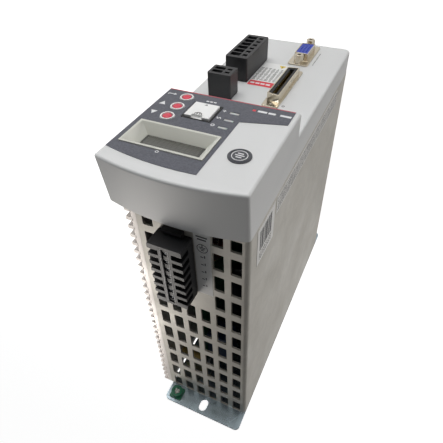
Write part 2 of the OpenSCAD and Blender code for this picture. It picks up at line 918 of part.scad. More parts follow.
module feedback_jackscrews() {
    seat = low_y - flange_t;
    thread_d = 2;
    color("#C4C2BC") for (side = [-1, 1])
        translate([dsub_x, 0, dsub_z + side * dsub_jack / 2]) difference() {
            union() {
                translate([0, seat, 0]) rotate([90, 0, 0])
                    cylinder(h = jack_len, d = jack_af / cos(30), $fn = 6);
                bar_y(0, 0, seat - eps, low_y - eps, jack_bore_d - 0.1);
            }
            bar_y(0, 0, seat - jack_len - 1, seat - 1, thread_d);
        }
}

// ---------------------------------------------------------------- boards and power parts

// Heights of the signal plugs' pins
function signal_pin_z() = concat(
    [for (i = [0 : safety_poles - 1]) safety_z + pole_y(i, safety_poles, safety_pitch)],
    [for (i = [0 : backup_poles - 1]) backup_z + pole_y(i, backup_poles, backup_pitch)]
);

module control_board() {
    color("#1F5A3C") difference() {
        box([cover_x0 + control_edge, control_y, -top_z + control_edge],
            [cover_x1 - control_edge, control_y + board_t, top_z - control_edge]);
        for (f = control_fixings())
            bar_y(f[0], f[1], control_y - 1, control_y + board_t + 1, spacer_bore_d + 0.7);
        for (z = signal_pin_z())
            bar_y(signal_x, z, control_y - 1, seam_y, pin_d + 0.2);
    }
}

module panel_board() {
    color("#1F5A3C") difference() {
        box([panel_board_x0, panel_board_y, panel_board_z0],
            [panel_board_x1, panel_board_y + board_t, panel_board_z1]);
        for (f = panel_fixings())
            bar_y(f[0], f[1], panel_board_y - 1, panel_board_y + board_t + 1, spacer_bore_d + 0.7);
    }
}

function power_fixings() = [
    for (y = [power_board_y0 + spacer_in, power_board_y1 - spacer_in])
        for (z = [-power_board_z + spacer_in, power_board_z - spacer_in])
            [y, z]
];

module power_board() {
    color("#235E40") difference() {
        box([power_board_x - board_t, power_board_y0, -power_board_z],
            [power_board_x, power_board_y1, power_board_z]);
        for (f = power_fixings())
            translate([power_board_x - board_t - 1, f[0], f[1]]) rotate([0, 90, 0])
                cylinder(h = board_t + 2, d = spacer_bore_d + 0.7);
    }
}

module board_spacers() {
    color("#C9B878") for (f = power_fixings())
        translate([power_board_x, f[0], f[1]]) rotate([0, 90, 0]) difference() {
            cylinder(h = sink_x - power_board_x, d = spacer_d);
            translate([0, 0, -1]) cylinder(h = 8, d = spacer_bore_d);
        }
}

module board_screws() {
    color("#C0C3C6") {
        for (f = power_fixings())
            translate([power_board_x - board_t, f[0], f[1]]) rotate([0, 90, 0]) {
                translate([0, 0, -screw_head_t]) cylinder(h = screw_head_t, d = screw_head_d);
                cylinder(h = board_t + 5, d = spacer_bore_d);
            }
        for (f = control_fixings()) {
            bar_y(f[0], f[1], control_y + board_t, control_y + board_t + board_gap - 0.2, screw_head_d);
            bar_y(f[0], f[1], control_y - 5, control_y + board_t + eps, spacer_bore_d);
        }
        panel_back = panel_board_y + board_t;
        for (f = panel_fixings()) {
            bar_y(f[0], f[1], panel_back, panel_back + screw_head_t, screw_head_d);
            bar_y(f[0], f[1], panel_board_y - 5, panel_back + eps, spacer_bore_d);
        }
    }
}

// Board-to-board headers: control to power board, and panel to control board
module board_links() {
    link_half = 22;
    color("#2A2A2D") {
        box([power_board_x - board_t - 6, control_y + board_t, -link_half],
            [power_board_x - board_t, power_board_y0 + 8, link_half]);
        box([lamp_x - 8, panel_board_y + board_t, panel_board_z0 + 14],
            [lamp_x - 3, control_y, panel_board_z0 + 34]);
    }
}

module thermal_pad() {
    color("#D9D4C4") box([sink_x - pad_t, module_y0, -module_half], [sink_x, module_y1, module_half]);
}

// Power module against the pad, with two rows of legs down to the power board
module power_module() {
    margin = 1;
    leg = 1;
    leg_pitch = 6;
    leg_in = 3;
    last = floor((module_half - leg_in) / leg_pitch);
    color("#37373A") {
        box([sink_x - pad_t - module_t, module_y0 + margin, -module_half + margin],
            [sink_x - pad_t, module_y1 - margin, module_half - margin]);
        for (i = [-last : last])
            for (y = [module_y0 + leg_in, module_y1 - leg_in])
                box([power_board_x, y - leg / 2, i * leg_pitch - leg / 2],
                    [sink_x - pad_t - module_t + eps, y + leg / 2, i * leg_pitch + leg / 2]);
    }
}

// Bridge rectifier between the power board and the heat sink
module rectifier() {
    size = [22, 28];
    y0 = -chassis_d * 0.3;
    color("#37373A") box([power_board_x, y0, -size[1] / 2], [sink_x - 2 * eps, y0 + size[0], size[1] / 2]);
}

module bus_capacitors() {
    pitch = cap_d + cap_gap;
    color("#2A3038") for (i = [-1 : 1])
        for (row = [0, 1])
            translate([power_board_x - board_t - cap_len, power_board_y1 - 16 - row * pitch, i * pitch])
                rotate([0, 90, 0]) cylinder(h = cap_len, d = cap_d);
}

module line_choke() {
    ring = 13;
    bundle = 8;
    middle = [power_board_x - board_t - bundle / 2, -chassis_d + 42, power_board_z - ring - 6];
    color("#8A5A34") translate(middle) rotate([0, 90, 0])
        rotate_extrude() translate([ring - bundle / 2, 0]) circle(d = bundle);
}

module charge_relay() {
    size = [16, 28, 13];
    z0 = power_board_z - 5 - size[2];
    color("#2F5FA0") box([power_board_x - board_t - size[0], power_board_y1 - 10 - size[1], z0],
        [power_board_x - board_t, power_board_y1 - 10, z0 + size[2]]);
}

// Wound transformer, with its terminal block at the front end
module supply_transformer() {
    size = [20, 26, 24];
    block = [16, 3, 16];
    x1 = power_board_x - board_t;
    y0 = module_y0 - 2;
    z0 = -power_board_z + 5;
    color("#B9A24A") {
        box([x1 - size[0], y0, z0], [x1, y0 + size[1], z0 + size[2]]);
        box([x1 - block[0], y0 - block[1], z0 + 4], [x1, y0 + eps, z0 + 4 + block[2]]);
    }
}

module processor_chips() {
    chip_t = 1.2;
    y0 = control_y + board_t;
    // Distance from the cover's left side, height of the lower edge, and side of each
    color("#26262A") for (chip = [[30, -52, 14], [12, 40, 12]])
        translate([cover_x0 + chip[0], y0, chip[1]]) cube([chip[2], chip_t, chip[2]]);
}

// ---------------------------------------------------------------- labels

module warning_label() {
    x1 = signal_x - signal_w / 2 - 0.6;
    color("#E8E6E6") box([x1 - 15, low_y - label_t, safety_z - 12.6], [x1, low_y, safety_z + 19]);
}

module rating_label() {
    color("#D8D8D6") {
        box([left_x - label_t, seam_y + 2, -top_z * 0.7], [left_x, seam_y + 12, top_z * 0.62]);
        box([left_x - label_t, seam_y + 2, top_z * 0.65], [left_x, seam_y + 24, top_z * 0.9]);
    }
}

module terminal_label() {
    x1 = power_x - power_w / 2 - 0.5;
    y0 = power_y - power_len / 2 - 5;
    y1 = power_y + power_len / 2 - 2;
    color("#B4AFA6") box([x1 - 8, y0, top_z], [x1, y1, top_z + label_t]);
}

// ---------------------------------------------------------------- nodes

chassis_shell();
end_grilles();
heat_sink();
mounting_plate();
ground_screw();
ground_washer();
front_cover();
overlay_film();
display_bezel();
display_window();
display_module();
button_rings();
enter_button();
up_button();
down_button();
button_switches();
status_light_pipes();
status_lamps();
memory_socket();
memory_module();
badge();
signal_connector_shell();
signal_connector_insert();
feedback_connector_shell();
feedback_connector_insert();
feedback_jackscrews();
mains_header();
mains_plug();
mains_plug_screws();
motor_header();
motor_plug();
motor_plug_screws();
safety_header();
safety_plug();
safety_plug_screws();
backup_header();
backup_plug();
backup_plug_screws();
contact_pins();
control_board();
panel_board();
power_board();
board_links();
board_spacers();
board_screws();
power_module();
thermal_pad();
bus_capacitors();
line_choke();
charge_relay();
supply_transformer();
rectifier();
processor_chips();
warning_label();
rating_label();
terminal_label();
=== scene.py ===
"""Servo drive for a cabinet panel: the finished looks round its CAD frame.

Run as a script, it makes every piece and then the stage. Each group of pieces
has its own operator, and they are listed in the 3D view's sidebar.
"""

import functools
import math
import random

import bmesh
import bpy
from bpy.props import FloatProperty, FloatVectorProperty, IntProperty, PointerProperty
from mathutils import Matrix, Vector


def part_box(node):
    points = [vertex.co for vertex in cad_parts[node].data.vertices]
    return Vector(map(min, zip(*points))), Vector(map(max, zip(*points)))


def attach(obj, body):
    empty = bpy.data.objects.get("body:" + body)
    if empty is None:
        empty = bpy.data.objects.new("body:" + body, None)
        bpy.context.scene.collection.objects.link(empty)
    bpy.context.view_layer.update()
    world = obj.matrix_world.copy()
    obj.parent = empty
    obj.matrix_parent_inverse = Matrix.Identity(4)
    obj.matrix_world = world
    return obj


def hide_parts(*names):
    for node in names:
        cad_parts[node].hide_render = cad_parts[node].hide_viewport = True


bl_info = {
    "name": "Servo Drive Builder",
    "version": (1, 0, 0),
    "blender": (4, 5, 0),
    "location": "3D View > Sidebar > Servo Drive",
    "description": "Builds a panel-mounted servo drive round its CAD frame",
    "category": "Object",
}

MM = 0.001
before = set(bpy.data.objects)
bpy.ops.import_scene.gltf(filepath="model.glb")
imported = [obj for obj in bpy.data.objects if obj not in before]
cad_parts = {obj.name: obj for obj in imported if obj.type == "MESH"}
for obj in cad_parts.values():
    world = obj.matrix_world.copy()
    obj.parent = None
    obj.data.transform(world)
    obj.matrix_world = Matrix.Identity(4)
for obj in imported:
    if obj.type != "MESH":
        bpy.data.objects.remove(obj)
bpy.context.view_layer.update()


# ------------------------------------------------------------------ colours


def linear(hex_colour):
    """An sRGB colour such as "#D4D6D8" as the four linear values a shader takes."""
    values = [int(hex_colour[i : i + 2], 16) / 255 for i in (1, 3, 5)]
    return tuple(v / 12.92 if v <= 0.04045 else ((v + 0.055) / 1.055) ** 2.4 for v in values) + (1.0,)


def colour_property(name, description, hex_colour):
    """A colour that the user can change, with its default as an sRGB hex value."""
    return FloatVectorProperty(
        name=name, description=description, subtype="COLOR", size=4, min=0, max=1, default=linear(hex_colour)
    )


def length_property(name, description, millimetres):
    """A length that the user can change, with its default in millimetres."""
    return FloatProperty(
        name=name, description=description, unit="LENGTH", subtype="DISTANCE", min=0, default=millimetres * MM
    )


class DriveColours(bpy.types.PropertyGroup):
    """Colours of the surfaces that are seen first."""

    cover: colour_property("Cover", "Moulded front cover", "#DADBDB")
    film: colour_property("Film", "Dark film of the operator panel", "#54565F")
    rule: colour_property("Rule", "Thin line along the film's lower edge", "#B85660")
    button: colour_property("Buttons", "Button caps", "#E04A5E")
    bezel: colour_property("Bezel", "Frame of the display", "#CBCBC2")
    display: colour_property("Display", "Display when it is off", "#4C4C46")
    badge: colour_property("Badge", "Round emblem", "#4B4D52")
    steel: colour_property("Chassis", "Coated steel of the chassis", "#C9C5BC")
    plate: colour_property("Mounting plate", "Zinc-plated mounting plate", "#BFD0D9")
    sink: colour_property("Heat sink", "Extruded aluminium", "#E6E0DC")
    ground: colour_property("Ground screw", "Green lacquered screw", "#1F6A4C")
    plug: colour_property("Plugs", "Black plugs and headers", "#1D1D20")
    insert: colour_property("Feedback insert", "Insert of the feedback connector", "#2E46B4")


class DriveSizes(bpy.types.PropertyGroup):
    """Sizes of the details that the CAD frame leaves to the looks."""

    cover_edge: length_property("Cover edge", "Radius of the cover's front edges", 1.3)
    small_edge: length_property("Small edge", "Radius on small moulded parts", 0.25)
    sheet_edge: length_property("Sheet edge", "Rounding of a sheared sheet edge", 0.2)
    slot_corner: length_property("Slot corner", "Corner radius of a ventilation slot", 0.5)
    fin_tip: length_property("Fin tip", "Rounding of a fin's tip", 0.45)
    print_height: length_property("Print height", "Thickness of the printed marks", 0.04)
    seed: IntProperty(name="Seed", description="Seed of the fine print", default=7, min=0)


def sizes():
    return bpy.context.scene.drive_sizes


# ------------------------------------------------------------------ nodes


def add(tree, kind, links=None, **settings):
    """Adds a node with its settings. An input takes a value, a socket or a node's first output."""
    node = tree.nodes.new(kind)
    for name, value in settings.items():
        setattr(node, name, value)
    for key, value in (links or {}).items():
        if isinstance(value, bpy.types.Node):
            value = value.outputs[0]
        if isinstance(value, bpy.types.NodeSocket):
            tree.links.new(value, node.inputs[key])
        else:
            node.inputs[key].default_value = value
    return node


def per_mm(size):
    """Texture scale whose features are this many millimetres across."""
    return 1 / (size * MM)


# ------------------------------------------------------------------ materials

# A Mix node's colour inputs are its sixth and seventh, and its colour output its third
MIX_A, MIX_B, MIX_OUT = 6, 7, 2


def new_material(name):
    """A new material without a shader, its node tree, and the object's own coordinates in it."""
    material = bpy.data.materials.new(name)
    material.use_nodes = True
    tree = material.node_tree
    tree.nodes.clear()
    return material, tree, add(tree, "ShaderNodeTexCoord").outputs["Object"]


def skinned(material, inputs):
    """The material, closed with a Principled shader that takes these inputs."""
    tree = material.node_tree
    skin = add(tree, "ShaderNodeBsdfPrincipled", inputs)
    add(tree, "ShaderNodeOutputMaterial", {"Surface": skin})
    return material


def tinted(colour, gain):
    return tuple(min(1.0, c * gain) for c in colour[:3]) + (1.0,)


def chosen(colour):
    """An sRGB hex value, or the user's colour of that name, as linear values."""
    if colour.startswith("#"):
        return linear(colour)
    return tuple(getattr(bpy.context.scene.drive_colours, colour))


def moulded(name, colour, roughness, grain=0.45, relief=0.12, cloud=18.0, contrast=0.05, edge=0.0, **inputs):
    """Injection-moulded plastic: spark-eroded grain, a cloudy tone and convex edges painted lighter, for
    rubbing wear and a painted edge highlight.
    """
    material, tree, where = new_material(name)
    colour = chosen(colour)
    dark, light = tinted(colour, 1 - contrast), tinted(colour, 1 + contrast)
    tone = add(tree, "ShaderNodeTexNoise", {"Vector": where, "Scale": per_mm(cloud), "Detail": 3.0})
    base = add(tree, "ShaderNodeMix", {0: tone, MIX_A: dark, MIX_B: light}, data_type="RGBA").outputs[MIX_OUT]
    if edge:
        # Convex edges are painted lighter: rubbing wear, and a painted highlight along the edges
        bend = add(tree, "ShaderNodeNewGeometry").outputs["Pointiness"]
        edge_wear_and_highlight_range = {"From Min": 0.52, "From Max": 0.62, "To Max": edge}
        edge_wear_and_highlight = add(tree, "ShaderNodeMapRange", {"Value": bend, **edge_wear_and_highlight_range})
        pale = tinted(colour, 1.5)
        wear_and_highlight_mix = add(tree, "ShaderNodeMix", {0: edge_wear_and_highlight, MIX_A: base, MIX_B: pale}, data_type="RGBA")
        base = wear_and_highlight_mix.outputs[MIX_OUT]
    grit = add(tree, "ShaderNodeTexNoise", {"Vector": where, "Scale": per_mm(grain), "Detail": 2.0})
    sheen_range = {"From Min": 0.3, "From Max": 0.7, "To Min": roughness - 0.06, "To Max": roughness + 0.08}
    sheen = add(tree, "ShaderNodeMapRange", {"Value": grit, **sheen_range})
    pits = add(tree, "ShaderNodeBump", {"Height": grit, "Strength": relief, "Distance": grain * MM * 0.3})
    return skinned(material, {"Base Color": base, "Roughness": sheen, "Normal": pits, **inputs})


def metal(name, colour, roughness, stroke=(0.3, 0.3, 14.0), spangle=0.0, contrast=0.06, metallic=1.0):
    """Metal with marks drawn along its longest stroke, and zinc spangles where it has them."""
    material, tree, where = new_material(name)
    colour = chosen(colour)
    dark, light = tinted(colour, 1 - contrast), tinted(colour, 1 + contrast)
    drawn = add(tree, "ShaderNodeMapping", {"Vector": where, "Scale": [per_mm(s) for s in stroke]})
    marks = add(tree, "ShaderNodeTexNoise", {"Vector": drawn, "Scale": 1.0, "Detail": 3.0})
    shades = {0: marks, MIX_A: dark, MIX_B: light}
    base = add(tree, "ShaderNodeMix", shades, data_type="RGBA").outputs[MIX_OUT]
    if spangle:
        flake = add(tree, "ShaderNodeTexVoronoi", {"Vector": where, "Scale": per_mm(spangle)})
        grey = add(tree, "ShaderNodeSeparateColor", {"Color": flake.outputs["Color"]})
        share = add(tree, "ShaderNodeMapRange", {"Value": grey, "To Max": 0.28})
        dull = tinted(colour, 0.72)
        flaked = add(tree, "ShaderNodeMix", {0: share, MIX_A: base, MIX_B: dull}, data_type="RGBA")
        base = flaked.outputs[MIX_OUT]
    smudge = add(tree, "ShaderNodeTexNoise", {"Vector": where, "Scale": per_mm(22), "Detail": 4.0})
    sheen_range = {"From Min": 0.3, "From Max": 0.7, "To Min": roughness - 0.07, "To Max": roughness + 0.1}
    sheen = add(tree, "ShaderNodeMapRange", {"Value": smudge, **sheen_range})
    scratches = add(tree, "ShaderNodeBump", {"Height": marks, "Strength": 0.06, "Distance": 0.1 * MM})
    inputs = {"Base Color": base, "Roughness": sheen, "Normal": scratches, "Metallic": metallic}
    return skinned(material, inputs)


def wound(name, colour, gap_colour, pitch, axis, roughness):
    """Turns of lacquered wire or tape: bands with darker gaps between them, pitch millimetres apart."""
    material, tree, where = new_material(name)
    # At a scale of 1 the wave turns by 20 radians in each metre
    spacing = {"Vector": where, "Scale": per_mm(pitch) * 2 * math.pi / 20, "Distortion": 0.6, "Detail": 1.0}
    bands = add(tree, "ShaderNodeTexWave", spacing, wave_type="BANDS", bands_direction=axis).outputs["Fac"]
    gap, turn = linear(gap_colour), linear(colour)
    base = add(tree, "ShaderNodeMix", {0: bands, MIX_A: gap, MIX_B: turn}, data_type="RGBA").outputs[MIX_OUT]
    turns = add(tree, "ShaderNodeBump", {"Height": bands, "Strength": 0.6, "Distance": pitch * MM * 0.064})
    return skinned(material, {"Base Color": base, "Normal": turns, "Roughness": roughness})


def solder_masked_board():
    """Glass-epoxy board under green solder mask: darker tracks and bright pads show through the gloss."""
    material, tree, where = new_material("glass_epoxy_board")
    eighth = math.radians(45)
    turned = add(tree, "ShaderNodeMapping", {"Vector": where, "Rotation": (0.0, eighth, eighth)})
    layout = {"Vector": turned, "Scale": per_mm(9), "Mortar Size": 0.03}
    greens = {"Color1": linear("#1F5D3E"), "Color2": linear("#2A6E49"), "Mortar": linear("#14432C")}
    tracks = add(tree, "ShaderNodeTexBrick", {**layout, **greens})
    pads = add(tree, "ShaderNodeTexVoronoi", {"Vector": where, "Scale": per_mm(6)})
    dot_range = {"From Min": 0.12, "From Max": 0.15, "To Min": 1.0, "To Max": 0.0}
    dot = add(tree, "ShaderNodeMapRange", {"Value": pads, **dot_range})
    base = add(tree, "ShaderNodeMix", {0: dot, MIX_A: tracks, MIX_B: linear("#B9B28C")}, data_type="RGBA")
    height = tracks.outputs["Fac"]
    relief = add(tree, "ShaderNodeBump", {"Height": height, "Strength": 0.4, "Distance": 0.1 * MM})
    gloss = {"Roughness": 0.32, "Coat Weight": 0.5}
    return skinned(material, {"Base Color": base.outputs[MIX_OUT], "Normal": relief, **gloss})


def switched_off_display():
    """Reflective liquid crystal behind acrylic: grey green, with a darker frame and faint character cells."""
    material, tree, where = new_material("acrylic_over_liquid_crystal")
    low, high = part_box("display_window")
    colour = chosen("display")
    centred = add(tree, "ShaderNodeMapping", {"Vector": where, "Location": -(low + high) / 2})
    facing = add(tree, "ShaderNodeMapping", {"Vector": centred, "Rotation": (math.radians(90), 0.0, 0.0)})
    layout = {"Vector": facing, "Scale": per_mm(4.6), "Mortar Size": 0.04}
    greys = {"Color1": colour, "Color2": tinted(colour, 1.12), "Mortar": tinted(colour, 0.82)}
    cells = add(tree, "ShaderNodeTexBrick", {**layout, **greys}, offset=0.0)
    axes = add(tree, "ShaderNodeSeparateXYZ", {"Vector": centred})
    reach = add(tree, "ShaderNodeMath", {0: axes.outputs["X"]}, operation="ABSOLUTE")
    frame_x = (high.x - low.x) / 2 - 1.4 * MM
    border = add(tree, "ShaderNodeMath", {0: reach, 1: frame_x}, operation="GREATER_THAN")
    base = add(tree, "ShaderNodeMix", {0: border, MIX_A: cells, MIX_B: linear("#33332F")}, data_type="RGBA")
    gloss = {"Roughness": 0.22, "Coat Weight": 0.6, "Coat Roughness": 0.08}
    return skinned(material, {"Base Color": base.outputs[MIX_OUT], **gloss})


def lacquered_screw():
    """Green lacquer over a steel screw, with a bright metal disc painted in the middle of the head: a painted
    highlight of the domed head.
    """
    low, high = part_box("ground_screw")
    middle = (low + high) / 2
    material, tree, where = new_material("green_lacquered_steel")
    onto_head = {"Vector": where, "Location": (-middle.x, 0.0, -middle.z), "Scale": (1.0, 0.0, 1.0)}
    centred = add(tree, "ShaderNodeMapping", onto_head)
    reach = add(tree, "ShaderNodeVectorMath", {0: centred}, operation="LENGTH").outputs["Value"]
    ragged_noise = add(tree, "ShaderNodeTexNoise", {"Vector": where, "Scale": per_mm(1.2), "Detail": 3.0})
    ragged = add(tree, "ShaderNodeMath", {0: ragged_noise, 1: 1.6 * MM, 2: reach}, operation="MULTIPLY_ADD")
    # The middle of the head is painted bright and metallic: a painted highlight on the dome, with a ragged
    # rim
    centre_highlight_range = {"From Min": 2.2 * MM, "From Max": 2.7 * MM, "To Min": 1.0, "To Max": 0.0}
    centre_highlight = add(tree, "ShaderNodeMapRange", {"Value": ragged, **centre_highlight_range})
    shades = {0: centre_highlight, MIX_A: chosen("ground"), MIX_B: linear("#D9DBD6")}
    base = add(tree, "ShaderNodeMix", shades, data_type="RGBA").outputs[MIX_OUT]
    relief = add(tree, "ShaderNodeBump", {"Height": ragged_noise, "Strength": 0.15, "Distance": 0.1 * MM})
    gloss = {"Roughness": 0.22, "Coat Weight": 0.4}
    return skinned(material, {"Base Color": base, "Metallic": centre_highlight, "Normal": relief, **gloss})


def printed_film():
    """Polyester film printed on its back: dark grey with the fine sparkle of its textured face."""
    material, tree, where = new_material("textured_polyester_film")
    speck = add(tree, "ShaderNodeTexVoronoi", {"Vector": where, "Scale": per_mm(0.55)})
    grey = add(tree, "ShaderNodeSeparateColor", {"Color": speck.outputs["Color"]})
    dark, light = tinted(chosen("film"), 0.84), tinted(chosen("film"), 1.24)
    base = add(tree, "ShaderNodeMix", {0: grey, MIX_A: dark, MIX_B: light}, data_type="RGBA").outputs[MIX_OUT]
    relief = add(tree, "ShaderNodeBump", {"Height": speck, "Strength": 0.25, "Distance": 0.06 * MM})
    return skinned(material, {"Base Color": base, "Normal": relief, "Roughness": 0.46})


# Each finish starts from what the real part is made of. It holds its maker, its name, a colour as a hex
# value or as one of the user's colours, a roughness and what else the maker or the shader takes
# A finish with an edge value has its convex edges painted lighter: wear, and a painted highlight along them
FINISHES = {
    # ABS-PC blend off a spark-eroded tool: even, soft highlights, and edges painted lighter as a painted
    # highlight along them
    "abs_cover": (moulded, "spark_eroded_abs", "cover", 0.46, {"contrast": 0.02, "edge": 0.35, "IOR": 1.53}),
    # ABS with a finer tool finish, a little yellower than the cover, its edges painted lighter as a painted
    # highlight
    "abs_bezel": (
        moulded, "fine_matt_abs", "bezel", 0.5, {"grain": 0.3, "contrast": 0.03, "edge": 0.3, "IOR": 1.53}
    ),
    # Polyester film, printed
    "film": (printed_film,),
    # Screen ink: flat and slightly chalky on the film and the labels
    "white_ink": (moulded, "white_screen_ink", "#E9E9EA", 0.6, {"grain": 0.2, "contrast": 0.04}),
    "grey_ink": (moulded, "grey_screen_ink", "#6C6A68", 0.6, {"grain": 0.2, "contrast": 0.08}),
    "dark_ink": (moulded, "dark_screen_ink", "#3B3D44", 0.6, {"grain": 0.2, "contrast": 0.08}),
    "red_ink": (moulded, "red_screen_ink", "#DE4650", 0.55, {"grain": 0.2}),
    "rule_ink": (moulded, "dull_red_screen_ink", "rule", 0.55, {"grain": 0.2}),
    "yellow_ink": (moulded, "yellow_screen_ink", "#E3C846", 0.55, {"grain": 0.2}),
    # Liquid crystal that is switched off, seen through its acrylic pane
    "display": (switched_off_display,),
    # Silicone-coated cap: saturated with a soft, wide highlight
    "button_rubber": (
        moulded, "satin_silicone", "button", 0.38, {"grain": 0.25, "contrast": 0.1, "IOR": 1.43}
    ),
    # Polished ABS: clean white with a tight highlight
    "ring_abs": (
        moulded, "polished_white_abs", "#EFEDEC", 0.28, {"grain": 0.25, "relief": 0.05, "contrast": 0.02}
    ),
    "module_abs": (moulded, "satin_white_abs", "#F1F1EF", 0.4, {"grain": 0.3, "contrast": 0.03, "edge": 0.2}),
    # Frosted polycarbonate light pipe: milky and slightly grey when unlit
    "light_pipe": (
        moulded, "frosted_polycarbonate", "#C6C9C8", 0.34,
        {"IOR": 1.58, "Subsurface Weight": 0.15, "Subsurface Scale": MM},
    ),
    "badge_abs": (moulded, "dark_grey_abs", "badge", 0.42, {"grain": 0.3, "edge": 0.4}),
    # Glass-filled polyamide: near black, its fibres give a slightly mottled satin; its edges are painted
    # lighter grey, for worn edges and a painted highlight
    "plug_nylon": (
        moulded, "glass_filled_polyamide", "plug", 0.42,
        {"grain": 0.5, "relief": 0.2, "cloud": 6, "contrast": 0.22, "edge": 0.55, "IOR": 1.53},
    ),
    # The same polyamide painted light grey on the power plugs' ribs: a painted highlight along the ridges
    "ribs_painted_highlight_nylon": (
        moulded, "rubbed_glass_filled_polyamide", "#56565B", 0.34,
        {"grain": 0.5, "relief": 0.15, "contrast": 0.15},
    ),
    # Unfilled polyamide of headers and inserts: an even, dull black
    "socket_nylon": (
        moulded, "black_polyamide", "#18181A", 0.5, {"grain": 0.4, "contrast": 0.15, "edge": 0.3, "IOR": 1.53}
    ),
    # Thermoplastic polyester insert of a feedback connector
    "insert_blue": (
        moulded, "blue_polyester_insert", "insert", 0.4, {"grain": 0.3, "contrast": 0.06, "edge": 0.4}
    ),
    # Sheet steel in a warm grey zinc-rich coat, with rolled marks running front to back
    "coated_steel": (
        metal, "zinc_coated_sheet_steel", "steel", 0.42,
        {"stroke": (1.2, 26.0, 1.2), "spangle": 5.0, "metallic": 0.3, "contrast": 0.04},
    ),
    # Blue-passivated zinc: brighter and cooler than the coated sheet
    "zinc_plate": (
        metal, "blue_passivated_zinc", "plate", 0.24,
        {"stroke": (0.8, 0.8, 18.0), "spangle": 7.0, "contrast": 0.12, "metallic": 0.75},
    ),
    # Extruded aluminium: die lines run along the fins
    "extruded_aluminium": (
        metal, "extruded_aluminium", "sink", 0.4,
        {"stroke": (0.35, 0.35, 60.0), "contrast": 0.05, "metallic": 0.35},
    ),
    # Lacquered screw and its washer: wet green gloss, with a bright metallic disc in the middle of the head
    # as a painted highlight
    "green_lacquer": (lacquered_screw,),
    # Nickel plate over pressed steel: bright, faintly warm, with small polishing marks
    "nickel": (metal, "nickel_plated_steel", "#D6CCB9", 0.24, {"stroke": (0.4, 0.4, 5.0), "contrast": 0.08}),
    # Zinc-plated screw steel: greyer, with no direction to its marks
    "screw_steel": (
        metal, "zinc_plated_screw_steel", "#A9ACB0", 0.34, {"stroke": (0.3, 0.3, 0.3), "contrast": 0.15}
    ),
    # Gold flash over bronze, and turned brass: warm and bright, with marks along the pin or round the bar
    "contact_gold": (metal, "gold_flashed_bronze", "#E2C074", 0.25, {"stroke": (0.3, 0.3, 3.0)}),
    "spacer_brass": (metal, "turned_brass", "#D9BE78", 0.28, {"stroke": (0.15, 4.0, 4.0)}),
    # Polyester labels: smoother than ink, the white one satin and the silver one matt
    "label_paper": (
        moulded, "satin_label_polyester", "#EDEDEC", 0.42, {"grain": 0.25, "relief": 0.04, "contrast": 0.015}
    ),
    "clear_label": (
        moulded, "matt_silver_label", "#F2F1EF", 0.45, {"grain": 0.25, "relief": 0.04, "contrast": 0.03}
    ),
    "board": (solder_masked_board,),
    # Shrunk sleeve, lacquered wire and taped winding. Turns of 1 mm would be too fine to show behind
    # the slots, so the bands are drawn some 7 to 19 mm apart
    "capacitor_sleeve": (wound, "heat_shrunk_pvc_sleeve", "#1F2530", "#181D26", 15.08, "X", 0.3, {}),
    "copper_winding": (wound, "enamelled_copper_wire", "#7E4B28", "#2E1A10", 6.91, "DIAGONAL", 0.3, {}),
    "tape_winding": (wound, "polyester_taped_winding", "#6F6645", "#4B452E", 18.85, "Z", 0.35, {}),
    "relay_blue": (moulded, "blue_polyester_case", "#2B3C5C", 0.38, {"contrast": 0.06}),
    # Transfer-moulded epoxy: dull black with visible silica
    "chip_epoxy": (
        moulded, "silica_filled_epoxy", "#2B2B2D", 0.6, {"grain": 0.25, "relief": 0.2, "contrast": 0.18}
    ),
    # Silicone pad: chalky and soft, so nearly without a highlight
    "silicone_pad": (
        moulded, "silicone_thermal_pad", "#D5D0C2", 0.75, {"grain": 0.8, "relief": 0.25, "contrast": 0.08}
    ),
    # Clear epoxy of a lamp: a tight highlight under a second, clear coat
    "lamp_epoxy": (moulded, "water_clear_lamp_epoxy", "#C8D2B4", 0.2, {"Coat Weight": 0.5}),
}


@functools.cache
def coated(name):
    """The material of that finish, made once."""
    maker, *values = FINISHES[name]
    extra = values.pop() if values else {}
    return maker(*values, **extra)


# ------------------------------------------------------------------ meshes


def new_object(name, mesh, finish=None):
    obj = bpy.data.objects.new(name, mesh)
    bpy.context.scene.collection.objects.link(obj)
    if finish:
        obj.data.materials.clear()
        obj.data.materials.append(coated(finish))
    return obj


def from_bmesh(name, shape, finish):
    mesh = bpy.data.meshes.new(name)
    shape.to_mesh(mesh)
    shape.free()
    return new_object(name, mesh, finish)


def cad_copy(node):
    """The CAD node's shape as one joined bmesh whose flat faces are whole."""
    shape = bmesh.new()
    shape.from_mesh(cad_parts[node].data)
    bmesh.ops.remove_doubles(shape, verts=shape.verts, dist=0.002 * MM)
    flat = math.radians(0.6)
    bmesh.ops.dissolve_limit(shape, angle_limit=flat, verts=shape.verts, edges=shape.edges)
    return shape


def sharp_edges(shape, angle=32, keep=None):
    """Convex edges sharper than the angle, those that keep() takes if it is given."""
    limit = math.radians(angle)
    closed = (e for e in shape.edges if len(e.link_faces) == 2 and e.is_convex)
    return [e for e in closed if e.calc_face_angle(0) > limit and (keep is None or keep(e))]


def round_over(shape, edges, radius, segments=2):
    """Rounds the given edges of the shape."""
    if edges and radius > 0:
        shaping = {"profile": 0.5, "affect": "EDGES", "clamp_overlap": True, "miter_outer": "SHARP"}
        bmesh.ops.bevel(shape, geom=edges, offset=radius, segments=segments, **shaping)


def smooth_finish(obj, angle=38):
    """Smooth shading that leaves the flat faces flat and the corners crisp."""
    obj.data.shade_smooth()
    obj.data.set_sharp_from_angle(angle=math.radians(angle))
    weighted = obj.modifiers.new("Flat faces stay flat", "WEIGHTED_NORMAL")
    weighted.keep_sharp = True
    weighted.weight = 80
    bake(obj)
    return obj


